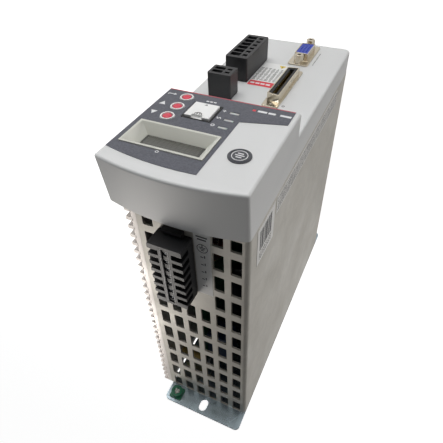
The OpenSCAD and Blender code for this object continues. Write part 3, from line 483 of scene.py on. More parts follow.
def bake(obj):
    """Turns the object and its modifiers into one plain mesh."""
    evaluated = obj.evaluated_get(bpy.context.evaluated_depsgraph_get())
    mesh = bpy.data.meshes.new_from_object(evaluated)
    obj.modifiers.clear()
    old, obj.data = obj.data, mesh
    mesh.name = obj.name
    bpy.data.meshes.remove(old)
    return obj


def set_piece(obj, body, slot, *nodes):
    """The piece moves with the body and stands for the nodes, which are hidden. The slot is not used."""
    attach(obj, body)
    if nodes:
        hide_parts(*nodes)
    return obj


def softened(name, node, finish, slot, radius, body="drive", keep=None, segments=2, angle=32):
    """The CAD node's shape with its outer edges rounded, as the visible piece."""
    shape = cad_copy(node)
    round_over(shape, sharp_edges(shape, angle, keep), radius, segments)
    obj = smooth_finish(from_bmesh(name, shape, finish))
    return set_piece(obj, body, slot, node)


# Directions of the surfaces that carry print: across, up and outwards
FRONT = (Vector((1, 0, 0)), Vector((0, 0, 1)), Vector((0, -1, 0)))
LEFT = (Vector((0, 1, 0)), Vector((0, 0, 1)), Vector((-1, 0, 0)))
TOP = (Vector((1, 0, 0)), Vector((0, -1, 0)), Vector((0, 0, 1)))


def flat_prints(name, outlines, plane, level, finish, slot, body="drive", thickness=None):
    """Thin raised print: closed outlines in metres on a plane that lies level out from the origin."""
    across, up, out = plane
    shape = bmesh.new()
    for outline in outlines:
        verts = [shape.verts.new(across * u + up * v + out * level) for u, v in outline]
        shape.faces.new(verts)
    bmesh.ops.recalc_face_normals(shape, faces=shape.faces)
    for face in shape.faces:
        if face.normal.dot(out) < 0:
            face.normal_flip()
    raised = bmesh.ops.extrude_face_region(shape, geom=list(shape.faces))
    lift = out * (thickness or sizes().print_height)
    tops = [g for g in raised["geom"] if isinstance(g, bmesh.types.BMVert)]
    bmesh.ops.translate(shape, vec=lift, verts=tops)
    bmesh.ops.recalc_face_normals(shape, faces=shape.faces)
    return set_piece(from_bmesh(name, shape, finish), body, slot)


def rectangle(u, v, width, height):
    """Corners of a rectangle round its centre."""
    return [(u + sx * width / 2, v + sy * height / 2) for sx, sy in ((-1, -1), (1, -1), (1, 1), (-1, 1))]


def disc(u, v, radius, sides=40):
    turns = [2 * math.pi * i / sides for i in range(sides)]
    return [(u + radius * math.cos(t), v + radius * math.sin(t)) for t in turns]


def arc_band(u, v, radius, width, start=0.0, end=360.0, steps=40):
    """Pieces of a ring between two angles, each with four corners."""
    angles = [math.radians(start + (end - start) * i / steps) for i in range(steps + 1)]
    outer = radius + width
    band = []
    for a, b in zip(angles, angles[1:]):
        corners = ((radius, a), (outer, a), (outer, b), (radius, b))
        band.append([(u + r * math.cos(t), v + r * math.sin(t)) for r, t in corners])
    return band


def stroke(points, width):
    """Pieces of a line of even width through the points, one for each stretch."""
    pieces = []
    for (u0, v0), (u1, v1) in zip(points, points[1:]):
        x, y = Vector((v0 - v1, u1 - u0)).normalized() * width / 2
        pieces.append([(u0 + x, v0 + y), (u0 - x, v0 - y), (u1 - x, v1 - y), (u1 + x, v1 + y)])
    return pieces


# ------------------------------------------------------------------ geometry node trees

FLOAT, INT, MATERIAL, VECTOR = "NodeSocketFloat", "NodeSocketInt", "NodeSocketMaterial", "NodeSocketVector"

# Inputs of every tree that places things in a grid
GRID = {
    "Columns": (INT, 1),
    "Rows": (INT, 1),
    "Column Step": (VECTOR, (0.01, 0.0, 0.0)),
    "Row Step": (VECTOR, (0.0, 0.01, 0.0)),
    "Start": (VECTOR, (0.0, 0.0, 0.0)),
}


def new_tree(name, inputs, takes_geometry=False):
    """An empty geometry tree with named inputs, given as name: (socket type, default)."""
    tree = bpy.data.node_groups.new(name, "GeometryNodeTree")
    tree.is_modifier = True
    if takes_geometry:
        tree.interface.new_socket("Geometry", in_out="INPUT", socket_type="NodeSocketGeometry")
    for label, (kind, default) in inputs.items():
        tree.interface.new_socket(label, in_out="INPUT", socket_type=kind).default_value = default
    tree.interface.new_socket("Material", in_out="INPUT", socket_type=MATERIAL)
    tree.interface.new_socket("Geometry", in_out="OUTPUT", socket_type="NodeSocketGeometry")
    return tree, add(tree, "NodeGroupInput").outputs


def end_tree(tree, geometry, given):
    """Closes the tree with Realize Instances and Set Material."""
    real = add(tree, "GeometryNodeRealizeInstances", {"Geometry": geometry})
    coat = add(tree, "GeometryNodeSetMaterial", {"Geometry": real, "Material": given["Material"]})
    add(tree, "NodeGroupOutput", {"Geometry": coat})
    return tree


def grown(name, tree, values, finish, source=None):
    """A plain mesh made by the tree with these input values."""
    obj = source or new_object(name, bpy.data.meshes.new(name))
    modifier = obj.modifiers.new(name, "NODES")
    modifier.node_group = tree
    by_label = {item.name: item.identifier for item in tree.interface.items_tree if item.in_out == "INPUT"}
    for label, value in values.items():
        modifier[by_label[label]] = value
    modifier[by_label["Material"]] = coated(finish)
    return bake(obj)


def rounded_bar(tree, width, depth, length, radius, corner_steps):
    """A bar along Z round the origin, with rounded long edges."""
    outline = add(tree, "GeometryNodeCurvePrimitiveQuadrilateral", {"Width": width, "Height": depth})
    fillet = {"Curve": outline, "Radius": radius, "Count": corner_steps}
    rounded = add(tree, "GeometryNodeFilletCurve", fillet, mode="POLY")
    top_z = add(tree, "ShaderNodeMath", {0: length, 1: 0.5}, operation="MULTIPLY")
    foot_z = add(tree, "ShaderNodeMath", {0: length, 1: -0.5}, operation="MULTIPLY")
    top = add(tree, "ShaderNodeCombineXYZ", {"Z": top_z})
    foot = add(tree, "ShaderNodeCombineXYZ", {"Z": foot_z})
    spine = add(tree, "GeometryNodeCurvePrimitiveLine", {"Start": foot, "End": top})
    return add(tree, "GeometryNodeCurveToMesh", {"Curve": spine, "Profile Curve": rounded, "Fill Caps": True})


def grid_points(tree, given):
    """A point for each place of the grid, numbered row by row, and the column and row of each."""
    total = add(tree, "ShaderNodeMath", {0: given["Columns"], 1: given["Rows"]}, operation="MULTIPLY")
    points = add(tree, "GeometryNodePoints", {"Count": total})
    index = add(tree, "GeometryNodeInputIndex")
    column = add(tree, "ShaderNodeMath", {0: index, 1: given["Columns"]}, operation="MODULO")
    share = add(tree, "ShaderNodeMath", {0: index, 1: given["Columns"]}, operation="DIVIDE")
    row = add(tree, "ShaderNodeMath", {0: share}, operation="FLOOR")
    along = add(tree, "ShaderNodeVectorMath", {0: given["Column Step"], "Scale": column}, operation="SCALE")
    down = add(tree, "ShaderNodeVectorMath", {0: given["Row Step"], "Scale": row}, operation="SCALE")
    offset = add(tree, "ShaderNodeVectorMath", {0: along, 1: down}, operation="ADD")
    place = add(tree, "ShaderNodeVectorMath", {0: offset, 1: given["Start"]}, operation="ADD")
    placed = add(tree, "GeometryNodeSetPosition", {"Geometry": points, "Position": place})
    return placed, column, row


@functools.cache
def row_tree():
    """Rounded bars in a grid: the fins, the signal contacts and the ribs of the power plugs."""
    bar_inputs = {
        "Width": (FLOAT, 0.005),
        "Depth": (FLOAT, 0.005),
        "Length": (FLOAT, 0.01),
        "Corner Radius": (FLOAT, 0.0005),
        "Turn": (VECTOR, (0.0, 0.0, 0.0)),
    }
    tree, given = new_tree("Rows of rounded bars", {**GRID, **bar_inputs})
    bar = rounded_bar(tree, given["Width"], given["Depth"], given["Length"], given["Corner Radius"], 3)
    turned = add(tree, "GeometryNodeTransform", {"Geometry": bar, "Rotation": given["Turn"]})
    points, _, _ = grid_points(tree, given)
    bars = add(tree, "GeometryNodeInstanceOnPoints", {"Points": points, "Instance": turned})
    return end_tree(tree, bars, given)


@functools.cache
def perforate_tree():
    """Cuts the ventilation slots through both ends of a folded sheet, but not through its blank patch."""
    slot_inputs = {
        "Slot Width": (FLOAT, 0.0054),
        "Slot Depth": (FLOAT, 0.011),
        "Corner Radius": (FLOAT, 0.0005),
        "Height": (FLOAT, 0.2),
        "Front Limit": (FLOAT, -0.163),
        "Blank Row": (INT, 7),
        "Blank First Column": (INT, 1),
        "Blank Last Column": (INT, 3),
    }
    tree, given = new_tree("Ventilation slots", {**GRID, **slot_inputs}, takes_geometry=True)
    width, depth, radius = given["Slot Width"], given["Slot Depth"], given["Corner Radius"]
    cutter = rounded_bar(tree, width, depth, given["Height"], radius, 2)
    points, column, row = grid_points(tree, given)
    # The patch round the power plugs has no slots
    tests = (
        (row, "Blank Row", "GREATER_EQUAL"),
        (column, "Blank First Column", "GREATER_EQUAL"),
        (column, "Blank Last Column", "LESS_EQUAL"),
    )
    in_rows, after, before = (
        add(tree, "FunctionNodeCompare", {0: place, 1: given[limit]}, data_type="FLOAT", operation=test)
        for place, limit, test in tests
    )
    in_columns = add(tree, "FunctionNodeBooleanMath", {0: after, 1: before}, operation="AND")
    blank = add(tree, "FunctionNodeBooleanMath", {0: in_rows, 1: in_columns}, operation="AND")
    open_slot = add(tree, "FunctionNodeBooleanMath", {0: blank}, operation="NOT")
    placing = {"Points": points, "Instance": cutter, "Selection": open_slot}
    real = add(tree, "GeometryNodeRealizeInstances", {0: add(tree, "GeometryNodeInstanceOnPoints", placing)})
    # The frontmost slots are cut short, so that metal is left at the front edge
    here = add(tree, "ShaderNodeSeparateXYZ", {0: add(tree, "GeometryNodeInputPosition")}).outputs
    stop = add(tree, "ShaderNodeMath", {0: here["Y"], 1: given["Front Limit"]}, operation="MAXIMUM")
    kept = add(tree, "ShaderNodeCombineXYZ", {"X": here["X"], "Y": stop, "Z": here["Z"]})
    clipped = add(tree, "GeometryNodeSetPosition", {"Geometry": real, "Position": kept})
    meshes = {"Mesh 1": given["Geometry"], "Mesh 2": clipped}
    cut = add(tree, "GeometryNodeMeshBoolean", meshes, operation="DIFFERENCE", solver="EXACT")
    return end_tree(tree, cut, given)


@functools.cache
def fine_print_tree():
    """Lines of unreadable fine print: short raised dashes of uneven length."""
    word_inputs = {
        "Word Size": (VECTOR, (0.0024, 0.0001, 0.0005)),
        "Stretch": (VECTOR, (1.0, 0.0, 0.0)),
        "Seed": (INT, 1),
    }
    tree, given = new_tree("Fine print", {**GRID, **word_inputs})
    points, _, _ = grid_points(tree, given)
    # Each word loses up to two thirds of its length
    chance = add(tree, "FunctionNodeRandomValue", {"Seed": given["Seed"], 2: 0.0, 3: 0.66}, data_type="FLOAT")
    loss = {0: given["Stretch"], "Scale": chance.outputs[1]}
    shorter = add(tree, "ShaderNodeVectorMath", loss, operation="SCALE")
    scale = add(tree, "ShaderNodeVectorMath", {0: (1.0, 1.0, 1.0), 1: shorter}, operation="SUBTRACT")
    word = add(tree, "GeometryNodeMeshCube", {"Size": given["Word Size"]})
    words = add(tree, "GeometryNodeInstanceOnPoints", {"Points": points, "Instance": word, "Scale": scale})
    return end_tree(tree, words, given)


@functools.cache
def ring_tree():
    """Loops of wire round a ring: the turns of a winding."""
    ring_inputs = {
        "Count": (INT, 12),
        "Ring Radius": (FLOAT, 0.01),
        "Loop Radius": (FLOAT, 0.004),
        "Wire Radius": (FLOAT, 0.0005),
        "Centre": (VECTOR, (0.0, 0.0, 0.0)),
        "Turn": (VECTOR, (0.0, 0.0, 0.0)),
    }
    tree, given = new_tree("Turns round a ring", ring_inputs)
    ring = add(tree, "GeometryNodeMeshCircle", {"Vertices": given["Count"], "Radius": given["Ring Radius"]})
    loop = add(tree, "GeometryNodeCurvePrimitiveCircle", {"Resolution": 14, "Radius": given["Loop Radius"]})
    wire = add(tree, "GeometryNodeCurvePrimitiveCircle", {"Resolution": 6, "Radius": given["Wire Radius"]})
    turn = add(tree, "GeometryNodeCurveToMesh", {"Curve": loop, "Profile Curve": wire})
    upright = add(tree, "GeometryNodeTransform", {"Geometry": turn, "Rotation": (math.pi / 2, 0.0, 0.0)})
    index = add(tree, "GeometryNodeInputIndex")
    step = add(tree, "ShaderNodeMath", {0: 2 * math.pi, 1: given["Count"]}, operation="DIVIDE")
    angle = add(tree, "ShaderNodeMath", {0: index, 1: step}, operation="MULTIPLY")
    facing = add(tree, "ShaderNodeCombineXYZ", {"Z": angle})
    placing = {"Points": ring, "Instance": upright, "Rotation": facing}
    turns = add(tree, "GeometryNodeInstanceOnPoints", placing)
    moved = {"Geometry": turns, "Translation": given["Centre"], "Rotation": given["Turn"]}
    return end_tree(tree, add(tree, "GeometryNodeTransform", moved), given)


# ------------------------------------------------------------------ chassis


# The sheet, its ventilation slots and the heat sink's profile
SHEET = 1.2 * MM
SLOT_COLUMNS, SLOT_ROWS = 6, 11
SLOT_WIDTH, SLOT_DEPTH = 5.4 * MM, 11 * MM
SLOT_PITCH_X, SLOT_PITCH_Y = 8.64 * MM, 15.4 * MM
SLOT_FROM_SIDE, SLOT_FROM_BACK, SLOT_FROM_FRONT = 3.2 * MM, 1.8 * MM, 2 * MM
SINK_BASE, FIN_WIDTH, FIN_PITCH = 2.8 * MM, 2.2 * MM, 5.7 * MM


def folded_sheet():
    """The chassis's sheet before its slots: a channel with two round bends, open to the right."""
    low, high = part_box("chassis_shell")
    end_low, end_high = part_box("end_grilles")
    bend = end_low.x - low.x
    bend_steps = 8
    outer, inner = [], []
    for side in (1, -1):
        corner = Vector((low.x + bend, side * (high.z - bend)))
        turns = [math.pi / 2 + math.pi / 2 * i / bend_steps for i in range(bend_steps + 1)]
        if side < 0:
            turns = [-t for t in reversed(turns)]
        for line, radius in ((outer, bend), (inner, bend - SHEET)):
            line += [(corner.x + radius * math.cos(t), corner.y + radius * math.sin(t)) for t in turns]
    right = end_high.x
    outer = [(right, high.z)] + outer + [(right, low.z)]
    inner = [(right, high.z - SHEET)] + inner + [(right, low.z + SHEET)]
    shape = bmesh.new()
    outline = outer + inner[::-1]
    near = [shape.verts.new((x, low.y, z)) for x, z in outline]
    far_side = [shape.verts.new((x, high.y, z)) for x, z in outline]
    count = len(outline)
    for i in range(count):
        j = (i + 1) % count
        shape.faces.new((near[i], near[j], far_side[j], far_side[i]))
    for ring in (near, far_side):
        for i in range(len(outer) - 1):
            j = count - 1 - i
            shape.faces.new((ring[i], ring[i + 1], ring[j - 1], ring[j]))
    bmesh.ops.recalc_face_normals(shape, faces=shape.faces)
    return shape


def block(centre, size):
    """A bmesh box round the centre."""
    shape = bmesh.new()
    bmesh.ops.create_cube(shape, size=1.0)
    place = Matrix.Translation(centre) @ Matrix.Diagonal((*size, 1.0))
    bmesh.ops.transform(shape, matrix=place, verts=shape.verts)
    return shape


def cut_header_holes(obj):
    """Opens both ends of the sheet for the power headers."""
    clear = Vector((0.3, 0.3, 0)) * MM
    for node in ("mains_header", "motor_header"):
        low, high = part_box(node)
        cutter = from_bmesh("cutter_" + node, block((low + high) / 2, high - low + 2 * clear), None)
        cut = obj.modifiers.new("Header opening", "BOOLEAN")
        cut.operation, cut.solver, cut.object = "DIFFERENCE", "EXACT", cutter
        bake(obj)
        bpy.data.objects.remove(cutter)
    return obj


class DRIVE_OT_chassis(bpy.types.Operator):
    """Folded, slotted chassis, heat sink, mounting plate and ground screw"""

    bl_idname = "drive.chassis"
    bl_label = "Chassis"

    def execute(self, context):
        low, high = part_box("end_grilles")
        first_x = high.x - SLOT_FROM_SIDE - SLOT_WIDTH / 2
        first_y = -SLOT_FROM_BACK - SLOT_DEPTH / 2
        chassis = from_bmesh("chassis_sheet", folded_sheet(), "coated_steel")
        cut_header_holes(chassis)
        slots = {
            "Columns": SLOT_COLUMNS,
            "Rows": SLOT_ROWS,
            "Column Step": (-SLOT_PITCH_X, 0.0, 0.0),
            "Row Step": (0.0, -SLOT_PITCH_Y, 0.0),
            "Start": (first_x, first_y, 0.0),
            "Slot Width": SLOT_WIDTH,
            "Slot Depth": SLOT_DEPTH,
            "Corner Radius": sizes().slot_corner,
            "Front Limit": low.y + SLOT_FROM_FRONT,
            "Height": (high.z - low.z) * 1.1,
        }
        grown("chassis_sheet", perforate_tree(), slots, "coated_steel", source=chassis)
        set_piece(smooth_finish(chassis), "drive", "zinc_steel", "chassis_shell", "end_grilles")

        low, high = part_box("heat_sink")
        length = high.z - low.z
        middle = (low + high) / 2
        # The fins reach a little into the base, so that no gap shows between them
        rib_height = high.x - low.x - SINK_BASE + 0.5 * MM
        ribs = {
            "Columns": int((high.y - low.y - FIN_WIDTH) / FIN_PITCH) + 1,
            "Column Step": (0.0, -FIN_PITCH, 0.0),
            "Start": (high.x - rib_height / 2, high.y - FIN_WIDTH / 2, middle.z),
            "Width": rib_height,
            "Depth": FIN_WIDTH,
            "Length": length,
            "Corner Radius": sizes().fin_tip,
        }
        fins = smooth_finish(grown("heat_sink_fins", row_tree(), ribs, "extruded_aluminium"))
        set_piece(fins, "drive", "sink_aluminium", "heat_sink")
        centre = Vector((low.x + SINK_BASE / 2, middle.y, middle.z))
        base = block(centre, Vector((SINK_BASE, high.y - low.y, length)))
        round_over(base, list(base.edges), sizes().sheet_edge, 2)
        plate = smooth_finish(from_bmesh("heat_sink_base", base, "extruded_aluminium"))
        set_piece(plate, "drive", "sink_aluminium")

        softened("mounting_sheet", "mounting_plate", "zinc_plate", "zinc_plate", sizes().sheet_edge)
        softened("ground_screw_head", "ground_screw", "green_lacquer", "ground_green", 0.3 * MM)
        softened("ground_lock_washer", "ground_washer", "green_lacquer", "ground_green", 0.12 * MM)
        return {"FINISHED"}


# ------------------------------------------------------------------ cover


# Bare rim of the head below the film
FILM_EDGE = 1.1 * MM


def outer_rim(cover_low, cover_high, front_y, step_y, step_z):
    """Tells whether an edge lies on the outer rim of the head's front or of the lower front."""
    # How far the rounded corners and the arched end reach in, and what counts as an edge along Y
    corner, arch, head_end, long_edge = 4.2 * MM, 10 * MM, 12 * MM, 3 * MM
    near = 0.05 * MM

    def keep(edge):
        a, b = (v.co for v in edge.verts)
        middle = (a + b) / 2
        at_side = middle.x < cover_low.x + corner or middle.x > cover_high.x - corner
        on_head = abs(a.y - front_y) < near and abs(b.y - front_y) < near
        on_step = abs(a.y - step_y) < near and abs(b.y - step_y) < near
        if on_head:
            return at_side or middle.z > cover_high.z - arch or middle.z < step_z + near
        if on_step:
            return at_side or middle.z < cover_low.z + corner
        along_y = abs(a.y - b.y) > long_edge
        on_shelf = abs(a.z - step_z) < near and abs(b.z - step_z) < near
        return along_y and (on_shelf or (at_side and middle.z > cover_high.z - head_end))

    return keep


class DRIVE_OT_cover(bpy.types.Operator):
    """Moulded front cover with its raised head"""

    bl_idname = "drive.cover"
    bl_label = "Front cover"

    def execute(self, context):
        low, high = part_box("front_cover")
        film_low, film_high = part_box("overlay_film")
        step_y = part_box("warning_label")[1].y
        step_z = film_low.z - FILM_EDGE
        shape = cad_copy("front_cover")
        keep = outer_rim(low, high, film_high.y, step_y, step_z)
        round_over(shape, sharp_edges(shape, 40, keep), sizes().cover_edge, 4)
        cover = smooth_finish(from_bmesh("cover_moulding", shape, "abs_cover"), 30)
        set_piece(cover, "drive", "cover_plastic", "front_cover")
        return {"FINISHED"}


# ------------------------------------------------------------------ operator panel


def panel_marks():
    """Outlines of the light marks on the film: arrows, an enter sign and signs beside the lamps."""
    marks = []
    half, rise = 1.65 * MM, 1.485 * MM
    for node, up in (("up_button", 1), ("down_button", -1)):
        low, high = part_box(node)
        u, v = high.x + 5.2 * MM, (low.z + high.z) / 2 - 0.9 * MM
        marks.append([(u - half, v - up * rise), (u + half, v - up * rise), (u, v + up * rise)])
    low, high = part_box("enter_button")
    u, v = high.x + 5.4 * MM, (low.z + high.z) / 2 - 1.0 * MM
    marks += stroke([(u + 2.1 * MM, v + 1.0 * MM), (u + 2.1 * MM, v), (u - 1.0 * MM, v)], 0.5 * MM)
    marks.append([(u - 2.4 * MM, v), (u - 0.9 * MM, v - 0.9 * MM), (u - 0.9 * MM, v + 0.9 * MM)])
    # Beside the lamps: a cross, a wave and a ring
    low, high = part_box("status_light_pipes")
    lamp_height = 1.3 * MM
    pitch = (high.z - low.z - lamp_height) / 2
    u, first = high.x + 3.0 * MM, low.z + 0.05 * MM
    marks.append(rectangle(u, first, 1.6 * MM, 0.5 * MM))
    marks.append(rectangle(u, first, 0.5 * MM, 1.7 * MM))
    reach, swing = 0.275 * MM, 0.7 * MM
    wave = [(u + reach * t, first + pitch + swing * math.sin(t * math.pi / 3)) for t in range(-4, 5)]
    marks += stroke(wave, 0.42 * MM)
    marks += arc_band(u, first + 2 * pitch, 0.55 * MM, 0.4 * MM, steps=20)
    # Below the memory module: a line of three short bars
    low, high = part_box("memory_module")
    u, v = (low.x + high.x) / 2, low.z - 3.6 * MM
    marks += [rectangle(u + i * 1.9 * MM, v, 1.4 * MM, 0.9 * MM) for i in (-1, 0, 1)]
    # Over the display: a small ring
    low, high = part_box("display_bezel")
    marks += arc_band((low.x + high.x) / 2, high.z + 1.3 * MM, 0.45 * MM, 0.35 * MM, steps=20)
    return marks


class DRIVE_OT_panel(bpy.types.Operator):
    """Operator panel: film, display, buttons, lamps, memory module and badge"""

    bl_idname = "drive.panel"
    bl_label = "Operator panel"

    def execute(self, context):
        edge = sizes().small_edge
        softened("panel_film", "overlay_film", "film", "film", 0.06 * MM)
        softened("display_frame", "display_bezel", "abs_bezel", "bezel_plastic", 0.16 * MM)
        softened("display_pane", "display_window", "display", "window", 0.08 * MM)
        softened("button_collars", "button_rings", "ring_abs", "ring_plastic", 0.18 * MM, segments=3)
        for body in ("enter_button", "up_button", "down_button"):
            softened(body + "_cap", body, "button_rubber", "button_plastic", 0.3 * MM, body=body, segments=3)
        softened("lamp_pipes", "status_light_pipes", "light_pipe", "light_pipe", 0.15 * MM)
        softened("memory_holder", "memory_socket", "socket_nylon", "black_plastic", 0.1 * MM)
        module = {"body": "memory_module"}
        softened("memory_block", "memory_module", "module_abs", "module_plastic", edge, segments=3, **module)

        film_low, film_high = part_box("overlay_film")
        level = -film_low.y
        flat_prints("film_marks", panel_marks(), FRONT, level, "white_ink", "film")
        rule_height, rule_width = 0.7 * MM, film_high.x - film_low.x - 0.4 * MM
        rule_v = film_low.z + rule_height / 2 + 0.1 * MM
        rule = rectangle((film_low.x + film_high.x) / 2, rule_v, rule_width, rule_height)
        flat_prints("film_rule", [rule], FRONT, level, "rule_ink", "film")
        # Plain bars stand in for the lettering on the film's narrow arm
        arm_v = film_low.z + 5.4 * MM
        bar_height = 1.5 * MM
        bars = [(-22.0, 5.2), (-15.6, 3.4), (-11.0, 4.4)]
        words = [rectangle(u * MM, arm_v, width * MM, bar_height) for u, width in bars]
        flat_prints("film_bars", words, FRONT, level, "white_ink", "film")
        square = rectangle(-7.0 * MM, arm_v, bar_height, bar_height)
        flat_prints("film_bar_red", [square], FRONT, level, "red_ink", "film")

        low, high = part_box("memory_module")
        u, v = (low.x + high.x) / 2, low.z + 2.0 * MM
        arrow = [(u - 0.8 * MM, v), (u + 0.8 * MM, v), (u, v - 1.2 * MM)]
        flat_prints("memory_arrow", [arrow], FRONT, -low.y, "grey_ink", "module_plastic", **module)
        grip = arc_band(u, high.z - 1.7 * MM, 1.5 * MM, 0.45 * MM, 180, 360, 18)
        legs = (-0.6 * MM, 0.6 * MM)
        grip += [rectangle(u + leg, high.z - 2.4 * MM, 0.35 * MM, 1.2 * MM) for leg in legs]
        module["thickness"] = 0.12 * MM
        flat_prints("memory_grip", grip, FRONT, -low.y, "grey_ink", "module_plastic", **module)

        softened("badge_disc", "badge", "badge_abs", "badge_plastic", 0.15 * MM, segments=3)
        low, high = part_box("badge")
        u, v = (low.x + high.x) / 2, (low.z + high.z) / 2
        radius = (high.x - low.x) / 2
        sign = arc_band(u, v, radius * 0.62, 0.3 * MM, steps=48)
        for row, reach in ((-1, 0.5), (0, 0.8), (1, 0.5)):
            sign.append(rectangle(u, v + row * radius * 0.26, radius * reach, 0.55 * MM))
        # The badge's face lies this deep behind its rim
        face = -low.y - 0.24 * MM
        flat_prints("badge_sign", sign, FRONT, face, "white_ink", "badge_plastic", thickness=0.12 * MM)
        return {"FINISHED"}


# ------------------------------------------------------------------ connectors and plugs


class DRIVE_OT_connectors(bpy.types.Operator):
    """Signal and feedback connectors with their contacts"""

    bl_idname = "drive.connectors"
    bl_label = "Connectors"

    def execute(self, context):
        softened("signal_shell", "signal_connector_shell", "nickel", "nickel_shell", 0.2 * MM, segments=3)
        softened("signal_insert", "signal_connector_insert", "socket_nylon", "black_plastic", 0.12 * MM)
        softened("feedback_shell", "feedback_connector_shell", "nickel", "nickel_shell", 0.2 * MM, segments=3)
        softened("feedback_insert", "feedback_connector_insert", "insert_blue", "blue_insert", 0.1 * MM)
        softened("feedback_hex_posts", "feedback_jackscrews", "nickel", "nickel_shell", 0.2 * MM, segments=3)

        # Two rows of spring contacts stand in the signal connector's slot
        low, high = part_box("signal_connector_insert")
        pitch, thick = 1.27 * MM, 0.45 * MM
        count = int((high.z - low.z - 8 * MM) / pitch) + 1
        middle = (low + high) / 2
        blades = {
            "Columns": count,
            "Rows": 2,
            "Column Step": (0.0, 0.0, pitch),
            "Row Step": (2.0 * MM, 0.0, 0.0),
            "Start": (middle.x - 1.0 * MM, low.y + 2.6 * MM, middle.z - pitch * (count - 1) / 2),
            "Width": 0.5 * MM,
            "Depth": thick,
            "Length": 3.6 * MM,
            "Corner Radius": 0.1 * MM,
            "Turn": (math.radians(90), 0.0, 0.0),
        }
        contacts = grown("signal_contacts", row_tree(), blades, "contact_gold")
        set_piece(contacts, "drive", "contact_brass")
        return {"FINISHED"}


# Body, circuit and edge radius in mm of each pull-out plug
PLUGS = (
    ("mains_plug", "mains", 0.35),
    ("motor_plug", "motor", 0.35),
    ("safety_plug", "safety", 0.3),
    ("backup_plug", "backup", 0.3),
)


class DRIVE_OT_plugs(bpy.types.Operator):
    """Pull-out terminal plugs, their headers, clamp screws and pins"""

    bl_idname = "drive.plugs"
    bl_label = "Plugs"

    def execute(self, context):
        for body, circuit, edge in PLUGS:
            softened(circuit + "_plug_body", body, "plug_nylon", "black_plastic", edge * MM, body=body)
            steel = "screw_steel"
            softened(circuit + "_clamp_screws", body + "_screws", steel, steel, 0.12 * MM, body=body)
            softened(circuit + "_header_box", circuit + "_header", "socket_nylon", "black_plastic", 0.2 * MM)
        softened("header_pins", "contact_pins", "contact_gold", "contact_brass", 0.15 * MM)

        # Raised ribs along both sides of each power plug's trough
        for body, out in (("mains_plug", 1), ("motor_plug", -1)):
            low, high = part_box(body)
            screws_low, screws_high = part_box(body + "_screws")
            top = high.z if out > 0 else low.z
            middle = (screws_low + screws_high) / 2
            rib, apart = 0.7 * MM, 3.9 * MM
            ribs = {
                "Columns": 2,
                "Column Step": (apart, 0.0, 0.0),
                "Start": (middle.x - apart / 2, middle.y, top - out * 0.3 * MM),
                "Width": rib,
                "Depth": rib,
                "Length": screws_high.y - screws_low.y + 3.0 * MM,
                "Corner Radius": 0.2 * MM,
                "Turn": (math.radians(90), 0.0, 0.0),
            }
            # The ribs are painted light grey: a painted highlight along them
            made = smooth_finish(grown(body + "_ribs", row_tree(), ribs, "ribs_painted_highlight_nylon"))
            set_piece(made, body, "black_plastic")
        return {"FINISHED"}


# ------------------------------------------------------------------ labels

# Poles of the mains plug, one beside the other
POWER_PITCH = 5.08 * MM


def fine_print(name, plane, start, word, line_pitch, finish, slot, lines, words, seed_shift=0):
    """Lines of fine print on a plane. A word is its greatest length and its height."""
    across, up, out = plane
    length, height = word
    thickness = sizes().print_height
    size = [abs(a) * length + abs(u) * height + abs(o) * thickness for a, u, o in zip(across, up, out)]
    values = {
        "Rows": lines,
        "Columns": words,
        "Start": Vector(start) + out * thickness / 2,
        "Column Step": across * length * 1.15,
        "Row Step": -up * line_pitch,
        "Word Size": size,
        "Stretch": [abs(c) for c in across],
        "Seed": sizes().seed + seed_shift,
    }
    return set_piece(grown(name, fine_print_tree(), values, finish), "drive", slot)


def warning_print():
    """The warning label's red band, triangle and fine print."""
    low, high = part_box("warning_label")
    level, over = -low.y, -low.y + sizes().print_height
    band_height, rim = 6.2 * MM, 0.3 * MM
    band_v = high.z - band_height / 2
    band = rectangle((low.x + high.x) / 2, band_v, high.x - low.x - rim, band_height - rim)
    flat_prints("warning_band", [band], FRONT, level, "red_ink", "label_paper")
    bars = [rectangle(low.x + (3.4 + i * 3.1) * MM, band_v, 2.4 * MM, 1.6 * MM) for i in range(4)]
    flat_prints("warning_band_marks", bars, FRONT, over, "white_ink", "label_paper")
    u, v = low.x + 3.2 * MM, low.z + 3.4 * MM
    foot, half = v - 1.6 * MM, 2.2 * MM
    triangle = [(u - half, foot), (u + half, foot), (u, v + half)]
    flat_prints("warning_triangle", [triangle], FRONT, level, "yellow_ink", "label_paper")
    point = stroke([(u, v + 1.1 * MM), (u, v - 0.2 * MM)], 0.5 * MM) + [disc(u, v - 0.9 * MM, 0.3 * MM, 12)]
    flat_prints("warning_point", point, FRONT, over, "dark_ink", "label_paper")
    start, word = (low.x + 1.9 * MM, low.y, high.z - band_height - 1.6 * MM), (2.1 * MM, 0.6 * MM)
    fine_print("warning_lines", FRONT, start, word, 1.35 * MM, "grey_ink", "label_paper", 13, 6)


def rating_print():
    """The rating label's long column of fine print, and the bars of its code, drawn at random."""
    low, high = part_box("rating_label")
    start, word = (low.x, low.y + 1.6 * MM, high.z - 26 * MM), (1.5 * MM, 0.55 * MM)
    fine_print("rating_lines", LEFT, start, word, 1.3 * MM, "grey_ink", "label_paper", 86, 5, 1)
    draw = random.Random(sizes().seed)
    v, code = high.z - 3.0 * MM, []
    while v > high.z - 18 * MM:
        thick = draw.choice((0.25, 0.45, 0.7)) * MM
        code.append(rectangle(low.y + 8.5 * MM, v - thick / 2, 12 * MM, thick))
        v -= thick + draw.choice((0.3, 0.5, 0.8)) * MM
    flat_prints("rating_bar_code", code, LEFT, -low.x, "dark_ink", "label_paper")
    start, word = (low.x, low.y + 16.5 * MM, high.z - 3.0 * MM), (1.4 * MM, 0.6 * MM)
    fine_print("rating_code_lines", LEFT, start, word, 1.6 * MM, "grey_ink", "label_paper", 10, 3, 2)


